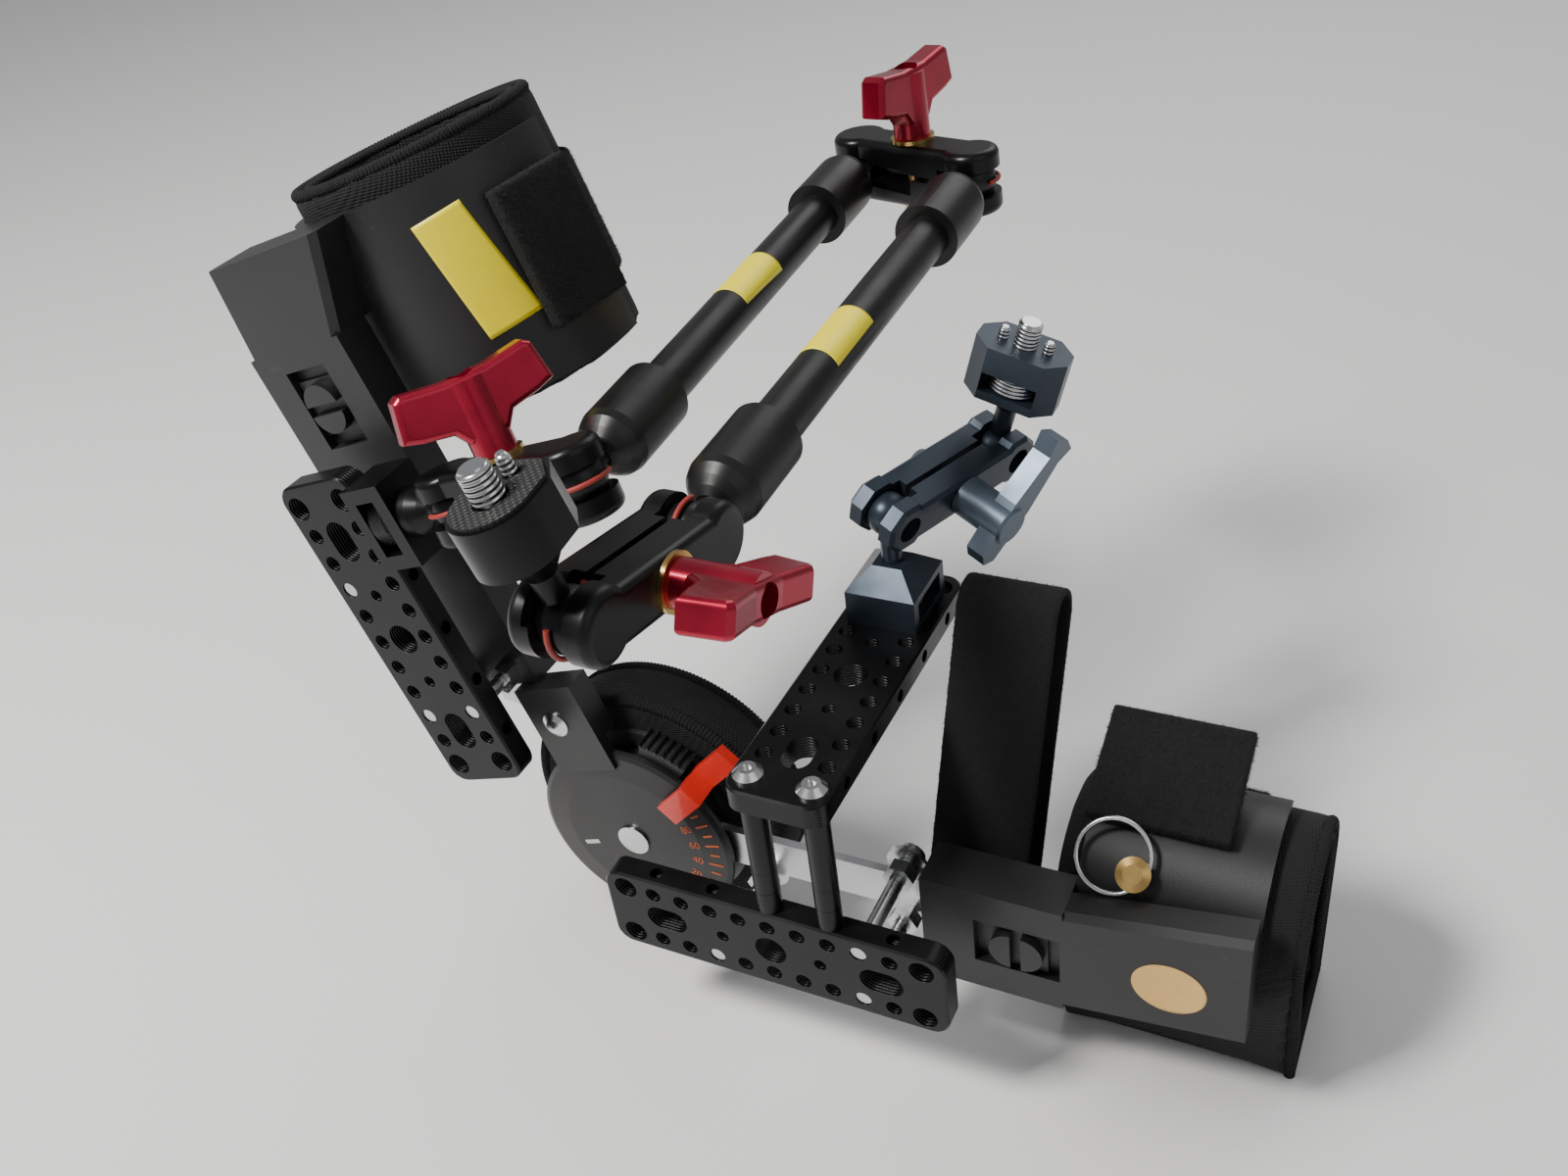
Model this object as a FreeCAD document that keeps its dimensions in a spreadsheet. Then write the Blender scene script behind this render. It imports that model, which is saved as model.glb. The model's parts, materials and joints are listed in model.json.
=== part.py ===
import FreeCAD, Part
import math
import os
import types

import Sketcher

# A shoulder-and-forearm support rig for a small cinema camera: an elbow brace
# carries three drilled accessory plates, a long double-tube arm and a short arm.
# Millimetres.  +X runs along the forearm, +Y points away from the operator's
# viewer side, +Z is up; the forearm plate's front face is the first datum.

SIZES = (
    ("plate_length", 138.0), ("plate_width", 38.0), ("plate_thick", 10.0), ("plate_corner", 7.0),
    ("plate_edge", 0.8), ("hole_pitch", 12.0), ("hole_row", 12.0), ("small_hole", 6.35),
    ("corner_hole", 9.5), ("corner_inset", 9.0), ("slot_length", 17.0), ("slot_width", 11.0),
    ("slot_centre", 44.0), ("centre_hole", 12.7), ("key_hole", 5.0), ("key_offset", 20.0),
    ("edge_hole", 5.0), ("edge_depth", 3.4), ("edge_pitch", 24.0),
    ("post_dia", 9.5), ("post_rise", 53.8), ("spacer_length", 10.0), ("stud_dia", 4.8),
    ("post_screw_dia", 6.0), ("post_screw_head", 11.0), ("post_screw_rise", 3.5),
    ("bolt_dia", 6.0), ("bolt_head", 11.0), ("bolt_head_rise", 4.0), ("washer_dia", 16.0),
    ("washer_thick", 1.6), ("nut_rise", 5.5), ("flush_gap", 0.5), ("bolt_gap", 0.15),
    ("bar_width", 17.0), ("bar_thick", 3.5), ("forearm_bar_depth", 43.0), ("upper_bar_depth", 48.0),
    ("bar_slack", 0.4),
    ("elbow_x", -80.0), ("elbow_drop", 3.0), ("elbow_tilt", 18.9), ("upper_plate_reach", 119.7),
    ("upper_plate_side", -31.5), ("upper_plate_depth", 14.5), ("forearm_plate_reach", 80.0),
    ("disc_radius", 43.5), ("disc_front", 36.0), ("disc_dome", 2.0), ("disc_thick", 3.0),
    ("core_radius", 36.0), ("core_front", 41.3), ("core_thick", 10.4), ("sector_radius", 50.0),
    ("back_front", 52.0), ("back_thick", 2.5), ("pivot_dia", 10.0), ("pivot_gap", 0.06),
    ("rivet_head", 7.0), ("tab_start", 36.0), ("tab_end", 77.0), ("tab_low", -18.0), ("tab_high", 11.0),
    ("tab_depth", 11.6), ("tab_rivet_reach", 60.0), ("tab_rivet_side", -6.0),
    ("pad_radius", 58.0), ("pad_front", 55.0), ("pad_thick", 26.0),
    ("forearm_face", 30.0), ("upper_face", 40.0), ("slider_width", 49.0), ("forearm_slider_thick", 20.0),
    ("upper_slider_thick", 16.0), ("forearm_slider_start", 128.0), ("forearm_slider_end", 181.0),
    ("upper_slider_start", 150.0), ("upper_slider_end", 230.0), ("cover_start", 78.0), ("cover_end", 148.0),
    ("button_length", 22.0), ("button_width", 20.0), ("button_travel", 4.0), ("recess_depth", 4.0),
    ("forearm_cuff_radius", 40.0), ("forearm_cuff_depth", 80.0), ("forearm_cuff_side", -5.0),
    ("forearm_cuff_end", 245.0), ("upper_cuff_radius", 52.0), ("upper_cuff_depth", 108.3),
    ("upper_cuff_side", 3.0), ("upper_cuff_start", 183.0), ("upper_cuff_end", 265.0),
    ("shell_thick", 4.0), ("liner_thick", 8.0), ("liner_over", 9.0), ("soft_gap", 0.3), ("strap_thick", 2.6),
    ("strap_width", 46.0), ("tab_pile_thick", 6.5), ("table_drop", 61.0), ("foot_width", 56.0),
    ("ball_dia", 19.0), ("neck_dia", 8.4), ("bone_pitch", 61.0), ("jaw_end", 11.4), ("jaw_waist", 9.0),
    ("jaw_half", 13.0), ("jaw_gap", 1.2), ("jaw_relief", 5.2), ("socket_gap", 0.15), ("clamp_dia", 7.8),
    ("flange_dia", 18.0), ("flange_thick", 1.6), ("clamp_reach", 17.0),
    ("tube_dia", 17.3), ("tube_wall", 1.5), ("tube_reach", 245.0), ("collar_dia", 25.4),
    ("collar_start", 14.0), ("collar_length", 38.0), ("collar_seat", 12.0),
    ("wing_span", 54.0), ("wing_rise", 30.0), ("wing_neck", 15.0), ("wing_thick", 11.0),
    ("base_width", 33.0), ("base_rise", 26.0), ("base_thick", 20.0), ("base_ball", 40.5),
    ("wheel_dia", 21.0), ("wheel_thick", 8.0), ("wheel_screw", 4.84), ("wheel_gap", 0.4),
    ("head_width", 26.0), ("head_length", 30.0), ("head_rise", 17.0), ("head_top", 42.0),
    ("head_screw", 9.1), ("screw_neck", 3.6), ("screw_rise", 10.0), ("head_pad_thick", 1.2),
    ("small_ball", 16.6), ("small_pitch", 60.0), ("small_base_width", 28.0), ("small_base_length", 30.0),
    ("small_base_rise", 22.0), ("small_ball_rise", 42.2), ("small_neck", 8.0), ("small_jaw_half", 11.5),
    ("small_relief", 4.6), ("small_jaw_end", 10.5), ("small_head_width", 36.0), ("small_head_rise", 22.0),
    ("small_head_top", 46.8), ("small_hub", 16.0), ("small_hub_length", 23.0), ("lever_length", 52.0),
    ("small_pin_offset", 8.8), ("small_pin", 4.0),
)

Vector = FreeCAD.Vector
Placement = FreeCAD.Placement
doc = FreeCAD.newDocument("ArmRig")
sheet = doc.addObject("Spreadsheet::Sheet", "Sizes")


class Size:
    """A size as a number, and the same sum written out for the spreadsheet."""

    def __init__(self, number, text):
        self.number = number
        self.text = text

    def __float__(self):
        return float(self.number)

    def __add__(self, other):
        other = as_size(other)
        return Size(self.number + other.number, f"({self.text} + {other.text})")

    def __sub__(self, other):
        other = as_size(other)
        return Size(self.number - other.number, f"({self.text} - {other.text})")

    def __mul__(self, factor):
        return Size(self.number * factor, f"({self.text} * {factor})")

    def __truediv__(self, factor):
        return Size(self.number / factor, f"({self.text} / {factor})")

    def __neg__(self):
        return Size(-self.number, f"(0 - {self.text})")

    def __radd__(self, other):
        return as_size(other) + self

    def __rsub__(self, other):
        return as_size(other) - self

    __rmul__ = __mul__


def as_size(amount):
    """Take a plain number or a Size and give a Size."""
    if isinstance(amount, Size):
        return amount
    return Size(float(amount), f"({float(amount)})")


def fill_sheet():
    """Write each driving dimension into the sheet and return them by name."""
    named = {}
    for row, (name, number) in enumerate(SIZES, start=1):
        sheet.set(f"A{row}", name)
        sheet.set(f"B{row}", str(number))
        sheet.setAlias(f"B{row}", name)
        named[name] = Size(number, f"Sizes.{name}")
    doc.recompute()
    return types.SimpleNamespace(**named)


s = fill_sheet()
subparts = []


# ---------------------------------------------------------------- helpers

def publish(label, item, place=None):
    """Name a finished piece, put it in place and list it for export."""
    item.Label = label
    if place is not None:
        for axis in "xyz":
            item.setExpression(f"Placement.Base.{axis}", None)
        item.Placement = place
    subparts.append(item)
    return item


def frame(origin, x_axis, z_axis):
    """Placement with the given origin, its Z along z_axis and its X as near x_axis as it can be."""
    z_axis = Vector(z_axis).normalize()
    x_axis = Vector(x_axis) - z_axis * Vector(x_axis).dot(z_axis)
    x_axis.normalize()
    y_axis = z_axis.cross(x_axis)
    return Placement(FreeCAD.Matrix(
        x_axis.x, y_axis.x, z_axis.x, origin.x,
        x_axis.y, y_axis.y, z_axis.y, origin.y,
        x_axis.z, y_axis.z, z_axis.z, origin.z))


def at(x=0.0, y=0.0, z=0.0, rotation=None):
    """Placement at a local point."""
    return Placement(Vector(float(x), float(y), float(z)), rotation or FreeCAD.Rotation())


TO_BACK = FreeCAD.Rotation(Vector(1, 0, 0), -90)     # turns local Z onto +Y
TO_FRONT = FreeCAD.Rotation(Vector(1, 0, 0), 90)     # turns local Z onto -Y
TO_SIDE = FreeCAD.Rotation(Vector(0, 1, 0), 90)      # turns local Z onto +X


def new_body(name, plane):
    """A PartDesign body with an empty sketch on one of its own origin planes."""
    body = doc.addObject("PartDesign::Body", name)
    sketch = body.newObject("Sketcher::SketchObject", name + "_sketch")
    attach(body, sketch, plane)
    return body, sketch


def attach(body, sketch, plane):
    """Lay a sketch on the body's origin plane of that role."""
    role = next(item for item in body.Origin.OriginFeatures if item.Role == plane)
    sketch.AttachmentSupport = [(role, "")]
    sketch.MapMode = "FlatFace"


def pin_point(sketch, geometry, point, x, y):
    """Fix one sketch point at two sizes measured from the sketch's origin."""
    for kind, amount, axis in (("DistanceX", x, -2), ("DistanceY", y, -1)):
        if float(amount) == 0.0:
            sketch.addConstraint(Sketcher.Constraint("PointOnObject", geometry, point, axis))
            continue
        index = sketch.addConstraint(Sketcher.Constraint(kind, -1, 1, geometry, point, float(amount)))
        sketch.setExpression(f"Constraints[{index}]", as_size(amount).text)


def outline(sketch, points):
    """Draw a closed run of straight lines through the points."""
    first = sketch.GeometryCount
    count = len(points)
    corners = [Vector(float(x), float(y), 0) for x, y in points]
    for k in range(count):
        sketch.addGeometry(Part.LineSegment(corners[k], corners[(k + 1) % count]))
    for k in range(count):
        sketch.addConstraint(Sketcher.Constraint("Coincident", first + k, 2, first + (k + 1) % count, 1))
    for k, (x, y) in enumerate(points):
        pin_point(sketch, first + k, 1, x, y)


def circle(sketch, x, y, radius):
    """Draw a circle whose centre and radius come from the sheet."""
    centre = Vector(float(x), float(y), 0)
    index = sketch.addGeometry(Part.Circle(centre, Vector(0, 0, 1), float(radius)))
    pin_point(sketch, index, 3, x, y)
    row = sketch.addConstraint(Sketcher.Constraint("Radius", index, float(radius)))
    sketch.setExpression(f"Constraints[{row}]", as_size(radius).text)


def slot(sketch, x, y, length, width):
    """Draw a slot with round ends, centred on a point and running along X."""
    half = (length - width) / 2
    radius = width / 2
    ends = []
    for side, start in ((1, -90), (-1, 90)):
        centre = Vector(float(x) + side * float(half), float(y), 0)
        arc = Part.ArcOfCircle(Part.Circle(centre, Vector(0, 0, 1), float(radius)),
                               math.radians(start), math.radians(start + 180))
        index = sketch.addGeometry(arc)
        ends.append(index)
        pin_point(sketch, index, 3, x + half * side, y)
        row = sketch.addConstraint(Sketcher.Constraint("Radius", index, float(radius)))
        sketch.setExpression(f"Constraints[{row}]", radius.text)
        sketch.addConstraint(Sketcher.Constraint("Vertical", index, 3, index, 1))
        sketch.addConstraint(Sketcher.Constraint("Vertical", index, 3, index, 2))
    for first, second in ((ends[0], ends[1]), (ends[1], ends[0])):
        start = sketch.Geometry[first].EndPoint
        end = sketch.Geometry[second].StartPoint
        line = sketch.addGeometry(Part.LineSegment(start, end))
        sketch.addConstraint(Sketcher.Constraint("Coincident", line, 1, first, 2))
        sketch.addConstraint(Sketcher.Constraint("Coincident", line, 2, second, 1))


def turned(name, points):
    """A piece turned on a lathe: points are (radius, height) about its own Z."""
    body, sketch = new_body(name, "XZ_Plane")
    outline(sketch, points)
    feature = body.newObject("PartDesign::Revolution", name + "_turn")
    feature.Profile = sketch
    feature.ReferenceAxis = (sketch, ["V_Axis"])
    feature.Angle = 360
    return body


def extruded(name, points, height, holes=()):
    """A piece cut from flat stock: an outline in X and Y, raised along Z."""
    body, sketch = new_body(name, "XY_Plane")
    outline(sketch, points)
    for hole in holes:
        circle(sketch, *hole)
    feature = body.newObject("PartDesign::Pad", name + "_pad")
    feature.Profile = sketch
    feature.Length = float(height)
    feature.setExpression("Length", as_size(height).text)
    return body


def rectangle(x0, y0, x1, y1):
    """The four corners of a rectangle."""
    return ((x0, y0), (x1, y0), (x1, y1), (x0, y1))


def primitive(kind, name, where, rotation=None, **sizes):
    """A Part primitive whose sizes and place are bound to the sheet."""
    item = doc.addObject("Part::" + kind, name)
    for prop, amount in sizes.items():
        item.setExpression(prop, as_size(amount).text)
    item.Placement = at(rotation=rotation)
    for axis, amount in zip("xyz", where):
        item.setExpression(f"Placement.Base.{axis}", as_size(amount).text)
    return item


def block(name, low, high):
    """A box between two corners."""
    x, y, z = (top - bottom for bottom, top in zip(map(as_size, low), map(as_size, high)))
    return primitive("Box", name, low, Length=x, Width=y, Height=z)


def rod(name, where, radius, height, rotation=None, **more):
    """A cylinder that starts at a point."""
    return primitive("Cylinder", name, where, rotation, Radius=radius, Height=height, **more)


def cut(name, base, *tools):
    """Take the tools away from the base."""
    item = doc.addObject("Part::Cut", name)
    item.Base = base
    item.Tool = tools[0] if len(tools) == 1 else fuse(name + "_tools", *tools)
    return item


def fuse(name, *items):
    """Join pieces of one solid."""
    item = doc.addObject("Part::MultiFuse", name)
    item.Shapes = list(items)
    item.Refine = True
    return item


def group(name, *sets):
    """Repeat master pieces at several places, as separate solids in one node."""
    copies = []
    for source, places in sets:
        for place in places:
            copy = doc.addObject("Part::Compound", f"{name}_copy_{len(copies) + 1}")
            copy.Links = [source]
            copy.Placement = place
            copies.append(copy)
    item = doc.addObject("Part::Compound", name)
    item.Links = copies
    return item


def shaped(name, shape):
    """A piece whose shape is worked out here from the sheet's values."""
    item = doc.addObject("Part::Feature", name)
    item.Shape = Part.makeCompound(shape.Solids)
    return item


# ---------------------------------------------------------------- frames of the two arms

ELBOW = Vector(float(s.elbow_x), 0, -float(s.elbow_drop))
TILT = math.radians(float(s.elbow_tilt))
UPPER_ALONG = Vector(-math.sin(TILT), 0, math.cos(TILT))
UPPER_SIDE = Vector(math.cos(TILT), 0, math.sin(TILT))
FORE_ALONG = Vector(1, 0, 0)
FORE_SIDE = Vector(0, 0, -1)
# In both arm frames z runs along the arm from the elbow, y is depth and x is sideways.
UPPER = frame(ELBOW, UPPER_SIDE, UPPER_ALONG)
FORE = frame(ELBOW, FORE_SIDE, FORE_ALONG)
BAR_SIDE = -s.elbow_drop                     # sideways place of the forearm bar's centre line


def on_arm(arm, x, y, z, rotation=None):
    """Placement at a point of an arm's frame."""
    return arm.multiply(at(x, y, z, rotation))


# ---------------------------------------------------------------- accessory plates

def plate_master():
    """One drilled plate: X along it, Z out of its front face, back face at Z = 0."""
    half_length, half_width = s.plate_length / 2, s.plate_width / 2
    body = extruded("plate", rectangle(-half_length, -half_width, half_length, half_width), s.plate_thick)
    doc.recompute()
    corners = [f"Edge{n}" for n, edge in enumerate(body.Shape.Edges, start=1)
               if abs(edge.tangentAt(edge.FirstParameter).z) > 0.9]
    slab = body.Tip
    rounding = body.newObject("PartDesign::Fillet", "plate_corners")
    rounding.Base = (slab, corners)
    rounding.setExpression("Radius", "Sizes.plate_corner")
    doc.recompute()
    rims = [f"Face{n}" for n, face in enumerate(body.Shape.Faces, start=1)
            if abs(face.normalAt(0, 0).z) > 0.9]
    easing = body.newObject("PartDesign::Chamfer", "plate_easing")
    easing.Base = (rounding, rims)
    easing.setExpression("Size", "Sizes.plate_edge")
    doc.recompute()

    rows = body.newObject("Sketcher::SketchObject", "plate_first_holes")
    attach(body, rows, "XY_Plane")
    for side in (1, -1):
        circle(rows, s.hole_pitch * -4, s.hole_row * side, s.small_hole / 2)
    drill_through(body, rows, "plate_drill")
    pattern = body.newObject("PartDesign::LinearPattern", "plate_rows")
    pattern.Originals = [doc.getObject("plate_drill")]
    pattern.Direction = (rows, ["H_Axis"])
    pattern.setExpression("Length", "Sizes.hole_pitch * 8")
    pattern.Occurrences = 9
    body.Tip = pattern

    others = body.newObject("Sketcher::SketchObject", "plate_large_holes")
    attach(body, others, "XY_Plane")
    for side in (1, -1):
        for row in (1, -1):
            circle(others, (half_length - s.corner_inset) * side, s.hole_row * row, s.corner_hole / 2)
        circle(others, s.key_offset * side, 0, s.key_hole / 2)
        slot(others, s.slot_centre * side, 0, s.slot_length, s.slot_width)
    circle(others, 0, 0, s.centre_hole / 2)
    drill_through(body, others, "plate_openings")

    taps = []
    for side, turn in ((1, TO_FRONT), (-1, TO_BACK)):
        for step in (-2, -1, 0, 1, 2):
            where = (s.edge_pitch * step, half_width * side, s.plate_thick / 2)
            taps.append(rod(f"edge_tap_{len(taps)}", where, s.edge_hole / 2, s.edge_depth, turn))
    return cut("plate_master", body, *taps)


def drill_through(body, sketch, name):
    """Cut a sketch through the whole plate."""
    feature = body.newObject("PartDesign::Pocket", name)
    feature.Profile = sketch
    feature.Type = 1
    feature.Midplane = True
    doc.recompute()


BACK = Vector(0, 1, 0)
FRONT = Vector(0, -1, 0)
UP = Vector(0, 0, 1)
plate_thick = float(s.plate_thick)
FORE_PLATE = frame(Vector(float(s.elbow_x + s.forearm_plate_reach), plate_thick, 0), FORE_ALONG, FRONT)
upper_mid = UPPER.multVec(Vector(float(s.upper_plate_side), float(s.upper_plate_depth) + plate_thick,
                                 float(s.upper_plate_reach)))
UPPER_PLATE = frame(upper_mid, -UPPER_ALONG, FRONT)
POST_Z = float(s.plate_width) / 2
post_front = float(s.plate_thick) / 2
# the top plate's front corner holes stand over the forearm plate's edge
TOP_PLATE = frame(Vector(float(s.hole_row), post_front + float(s.plate_length / 2 - s.corner_inset),
                         POST_Z + float(s.post_rise)), BACK, UP)

plate = plate_master()
for label, place in (("forearm_plate", FORE_PLATE), ("upper_arm_plate", UPPER_PLATE), ("top_plate", TOP_PLATE)):
    publish(label, group(label, (plate, [place])))


# ---------------------------------------------------------------- posts under the top plate

post = turned("post_master", (
    (0, -(s.edge_depth - 0.3)), (s.stud_dia / 2, -(s.edge_depth - 0.3)), (s.stud_dia / 2, s.spacer_length * 2),
    (s.post_dia / 2, s.spacer_length * 2), (s.post_dia / 2, s.post_rise),
    (s.post_screw_dia / 2 + 0.1, s.post_rise), (s.post_screw_dia / 2 + 0.1, s.post_rise - 14), (0, s.post_rise - 14)))
spacer = turned("spacer_master", rectangle(s.stud_dia / 2 + s.bolt_gap, 0, s.post_dia / 2, s.spacer_length - 0.2))
post_screw = turned("post_screw_master", (
    (0, -(s.plate_thick + 10)), (s.post_screw_dia / 2, -(s.plate_thick + 10)), (s.post_screw_dia / 2, 0),
    (s.post_screw_head / 2, 0), (s.post_screw_head / 2, 1.2), (s.post_screw_head / 2 - 2.2, s.post_screw_rise),
    (1.8, s.post_screw_rise), (1.8, 1.4), (0, 1.4)))
post_feet = [Vector(x, post_front, POST_Z) for x in (0.0, 2 * float(s.hole_row))]
rod_places = [at(foot.x, foot.y, foot.z) for foot in post_feet]
spacer_places = [at(foot.x, foot.y, foot.z + 0.1 + tier * float(s.spacer_length))
                 for foot in post_feet for tier in (0, 1)]
screw_places = [at(foot.x, foot.y, foot.z + float(s.post_rise + s.plate_thick)) for foot in post_feet]
publish("posts", group("posts", (post, rod_places), (spacer, spacer_places)))
publish("post_screws", group("post_screws", (post_screw, screw_places)))


# ---------------------------------------------------------------- plate bolts, nuts and washers

BOLT_HOLES = ((-2, -1), (3, -1), (3, 1))      # steps along the plate, row


def hexagon(radius):
    """Six corners of a hexagon of that corner radius."""
    return [(radius * round(math.cos(math.radians(60 * k)), 6), radius * round(math.sin(math.radians(60 * k)), 6))
            for k in range(6)]


def bolt_set(prefix, plate_place, reach, clamp_face):
    """Three bolts from a plate's front face, with a nut and a washer each side of what they clamp."""
    shank = turned(prefix + "_bolt_master", (
        (0, -s.flush_gap), (s.bolt_dia / 2, -s.flush_gap), (s.bolt_dia / 2, -reach),
        (s.bolt_head / 2, -reach), (s.bolt_head / 2, -(reach + s.bolt_head_rise)), (0, -(reach + s.bolt_head_rise))))
    nut = extruded(prefix + "_nut_master", hexagon(s.bolt_head / 2 * 1.12), s.nut_rise,
                   ((0, 0, s.bolt_dia / 2 + s.bolt_gap),))
    washer = cut(prefix + "_washer_master",
                       rod(prefix + "_washer_disc", (0, 0, 0), s.washer_dia / 2, s.washer_thick),
                       rod(prefix + "_washer_bore", (0, 0, -1), s.bolt_dia / 2 + s.bolt_gap, s.washer_thick + 2))
    holes = [(float(s.hole_pitch) * step, float(s.hole_row) * row) for step, row in BOLT_HOLES]
    front = float(s.plate_thick)
    places = [[plate_place.multiply(at(x, y, front - float(back))) for x, y in holes]
              for back in (0, clamp_face, reach)]
    publish(prefix + "_bolts", group(prefix + "_bolts", (shank, places[0])))
    publish(prefix + "_nuts", group(prefix + "_nuts", (nut, places[1]), (washer, places[2])))


bar_back = s.forearm_bar_depth + s.bar_thick
cover_back = s.upper_face + s.upper_slider_thick
bolt_set("forearm", FORE_PLATE, bar_back + s.washer_thick, s.forearm_bar_depth)
bolt_set("upper", UPPER_PLATE, cover_back + s.washer_thick - s.upper_plate_depth,
         s.upper_face - s.upper_plate_depth)


# ---------------------------------------------------------------- brace bars and elbow hinge

half_bar = s.bar_width / 2
bar_blank = block("forearm_bar_blank", (BAR_SIDE - half_bar, s.forearm_bar_depth, 10),
                    (BAR_SIDE + half_bar, s.forearm_bar_depth + s.bar_thick, s.forearm_slider_end - 3))

def bar_in_arm():
    """The upper bar is cranked sideways between its hinge end and the plate's centre line."""
    side, root = s.upper_plate_side, s.tab_rivet_side
    crank = ((root + half_bar, 48), (root + half_bar, 66), (side + half_bar, 76.5),
             (side + half_bar, s.upper_slider_end - 12), (side - half_bar, s.upper_slider_end - 12),
             (side - half_bar, 66), (root - half_bar, 54), (root - half_bar, 48))
    body, sketch = new_body("upper_bar", "XZ_Plane")
    outline(sketch, crank)
    circle(sketch, s.tab_rivet_side, s.tab_rivet_reach, 4.06)
    pad = body.newObject("PartDesign::Pad", "upper_bar_pad")
    pad.Profile = sketch
    pad.setExpression("Length", "Sizes.bar_thick")
    pad.Reversed = True
    return body


publish("upper_bar", bar_in_arm(), on_arm(UPPER, 0, s.upper_bar_depth, 0))

cover = turned("hinge_disc", (
    (s.pivot_dia / 2 + s.pivot_gap, 0), (s.disc_radius - 12, 0.8), (s.disc_radius - 2, s.disc_dome),
    (s.disc_radius, s.disc_dome + 1), (s.disc_radius, s.disc_dome + s.disc_thick),
    (s.pivot_dia / 2 + s.pivot_gap, s.disc_dome + s.disc_thick)))
cover.Placement = at(0, s.disc_front, 0, TO_BACK)
tab = block("hinge_tab", (s.tab_low, s.disc_front, s.tab_start), (s.tab_high, s.disc_front + s.tab_depth, s.tab_end))
tab_cut = rod("tab_relief", (0, s.disc_front + s.disc_dome + s.disc_thick, 0), s.sector_radius + 1,
              s.tab_depth, TO_BACK)
tab_bore = rod("tab_bore", (s.tab_rivet_side, s.disc_front - 2, s.tab_rivet_reach), 4.06, 30, TO_BACK)
publish("hinge_cover", cut("hinge_cover", fuse("hinge_cover_joined", cover, tab), tab_cut, tab_bore), UPPER)

tab_rivet = turned("tab_rivet", (
    (0, -2.2), (3.2, -2.0), (5.6, -0.6), (5.6, 0), (4.0, 0), (4.0, s.upper_bar_depth + s.bar_thick - s.disc_front),
    (0, s.upper_bar_depth + s.bar_thick - s.disc_front)))
publish("tab_rivet", tab_rivet, on_arm(UPPER, s.tab_rivet_side, s.disc_front, s.tab_rivet_reach, TO_BACK))

core_disc = rod("core_disc", (0, s.core_front, 0), s.core_radius, s.core_thick, TO_BACK)
SECTOR_START, SECTOR_SWEEP = 56.0, 24.0
sector_end = math.radians(SECTOR_START + SECTOR_SWEEP)
sector_turn = frame(Vector(), Vector(-math.sin(sector_end), 0, math.cos(sector_end)), BACK).Rotation
sector = rod("core_sector", (0, s.core_front, 0), s.sector_radius, s.core_thick, sector_turn, Angle=SECTOR_SWEEP)
sector_teeth = []
TOOTH_COUNT = 6
for k in range(TOOTH_COUNT):
    angle = math.radians(SECTOR_START + SECTOR_SWEEP * (k + 0.5) / TOOTH_COUNT)
    where = (-(s.sector_radius * math.sin(angle)), s.core_front - 1, s.sector_radius * math.cos(angle))
    sector_teeth.append(rod(f"tooth_gap_{k}", where, 1.7, s.core_thick + 2, TO_BACK))
core = cut("hinge_core_milled", fuse("hinge_core_joined", core_disc, sector),
           rod("core_bore", (0, s.core_front - 1, 0), s.pivot_dia / 2 + s.pivot_gap, s.core_thick + 2, TO_BACK),
           block("core_bar_slot", (BAR_SIDE - half_bar - 0.05, s.forearm_bar_depth - 0.05, 9.95),
                 (BAR_SIDE + half_bar + 0.05, s.forearm_bar_depth + s.bar_thick + 0.05, s.sector_radius + 5)),
           *sector_teeth)
BAR_RIVETS = (18.0, 29.0)
rivet_bores = [rod(f"rivet_bore_{k}", (BAR_SIDE, s.core_front - 1, reach), 3.05, s.core_thick + 2, TO_BACK)
               for k, reach in enumerate(BAR_RIVETS)]
publish("hinge_core", cut("hinge_core", core, *rivet_bores), FORE)
publish("forearm_bar", cut("forearm_bar", bar_blank, *rivet_bores), FORE)

back = cut("hinge_back", rod("back_disc", (0, s.back_front, 0), s.disc_radius, s.back_thick, TO_BACK),
           rod("back_bore", (0, s.back_front - 1, 0), s.pivot_dia / 2 + s.pivot_gap, s.back_thick + 2, TO_BACK))
publish("hinge_back", back, FORE)

pivot_length = s.back_front + s.back_thick - s.disc_front
pivot = turned("pivot_master", (
    (0, -2.4), (3.5, -2.2), (s.rivet_head, -1.0), (s.rivet_head, -0.1), (s.pivot_dia / 2, -0.1),
    (s.pivot_dia / 2, pivot_length), (0, pivot_length)))
bar_rivet = turned("bar_rivet_master", rectangle(0, 0, 3.0, s.core_thick))
publish("hinge_rivets", group(
    "hinge_rivets", (pivot, [on_arm(FORE, 0, s.disc_front, 0, TO_BACK)]),
    (bar_rivet, [on_arm(FORE, BAR_SIDE, s.core_front, reach, TO_BACK) for reach in BAR_RIVETS])))

pad_edge = 5.0
hinge_pad = turned("hinge_pad", (
    (0, 0), (s.pad_radius - pad_edge, 0), (s.pad_radius, pad_edge), (s.pad_radius, s.pad_thick - pad_edge),
    (s.pad_radius - pad_edge, s.pad_thick), (0, s.pad_thick)))
publish("hinge_pad", hinge_pad, on_arm(FORE, 0, s.pad_front, 0, TO_BACK))

# the lock lever hooks over the cover's rim and runs out radially
LOCK_ANGLE = 47.0
lock = extruded("lock_lever", (
    (31, 32.5), (50, 32.5), (50, 43.5), (68, 43.5), (68, 48), (45, 48), (45, 35.6), (31, 35.6)), 10)
lock_along = FORE_ALONG * math.cos(math.radians(LOCK_ANGLE)) - FORE_SIDE * math.sin(math.radians(LOCK_ANGLE))
lock_frame = frame(ELBOW, lock_along, lock_along.cross(BACK))
publish("lock_lever", lock, lock_frame.multiply(at(0, 0, -5)))


# ---------------------------------------------------------------- sliders and their buttons

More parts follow.
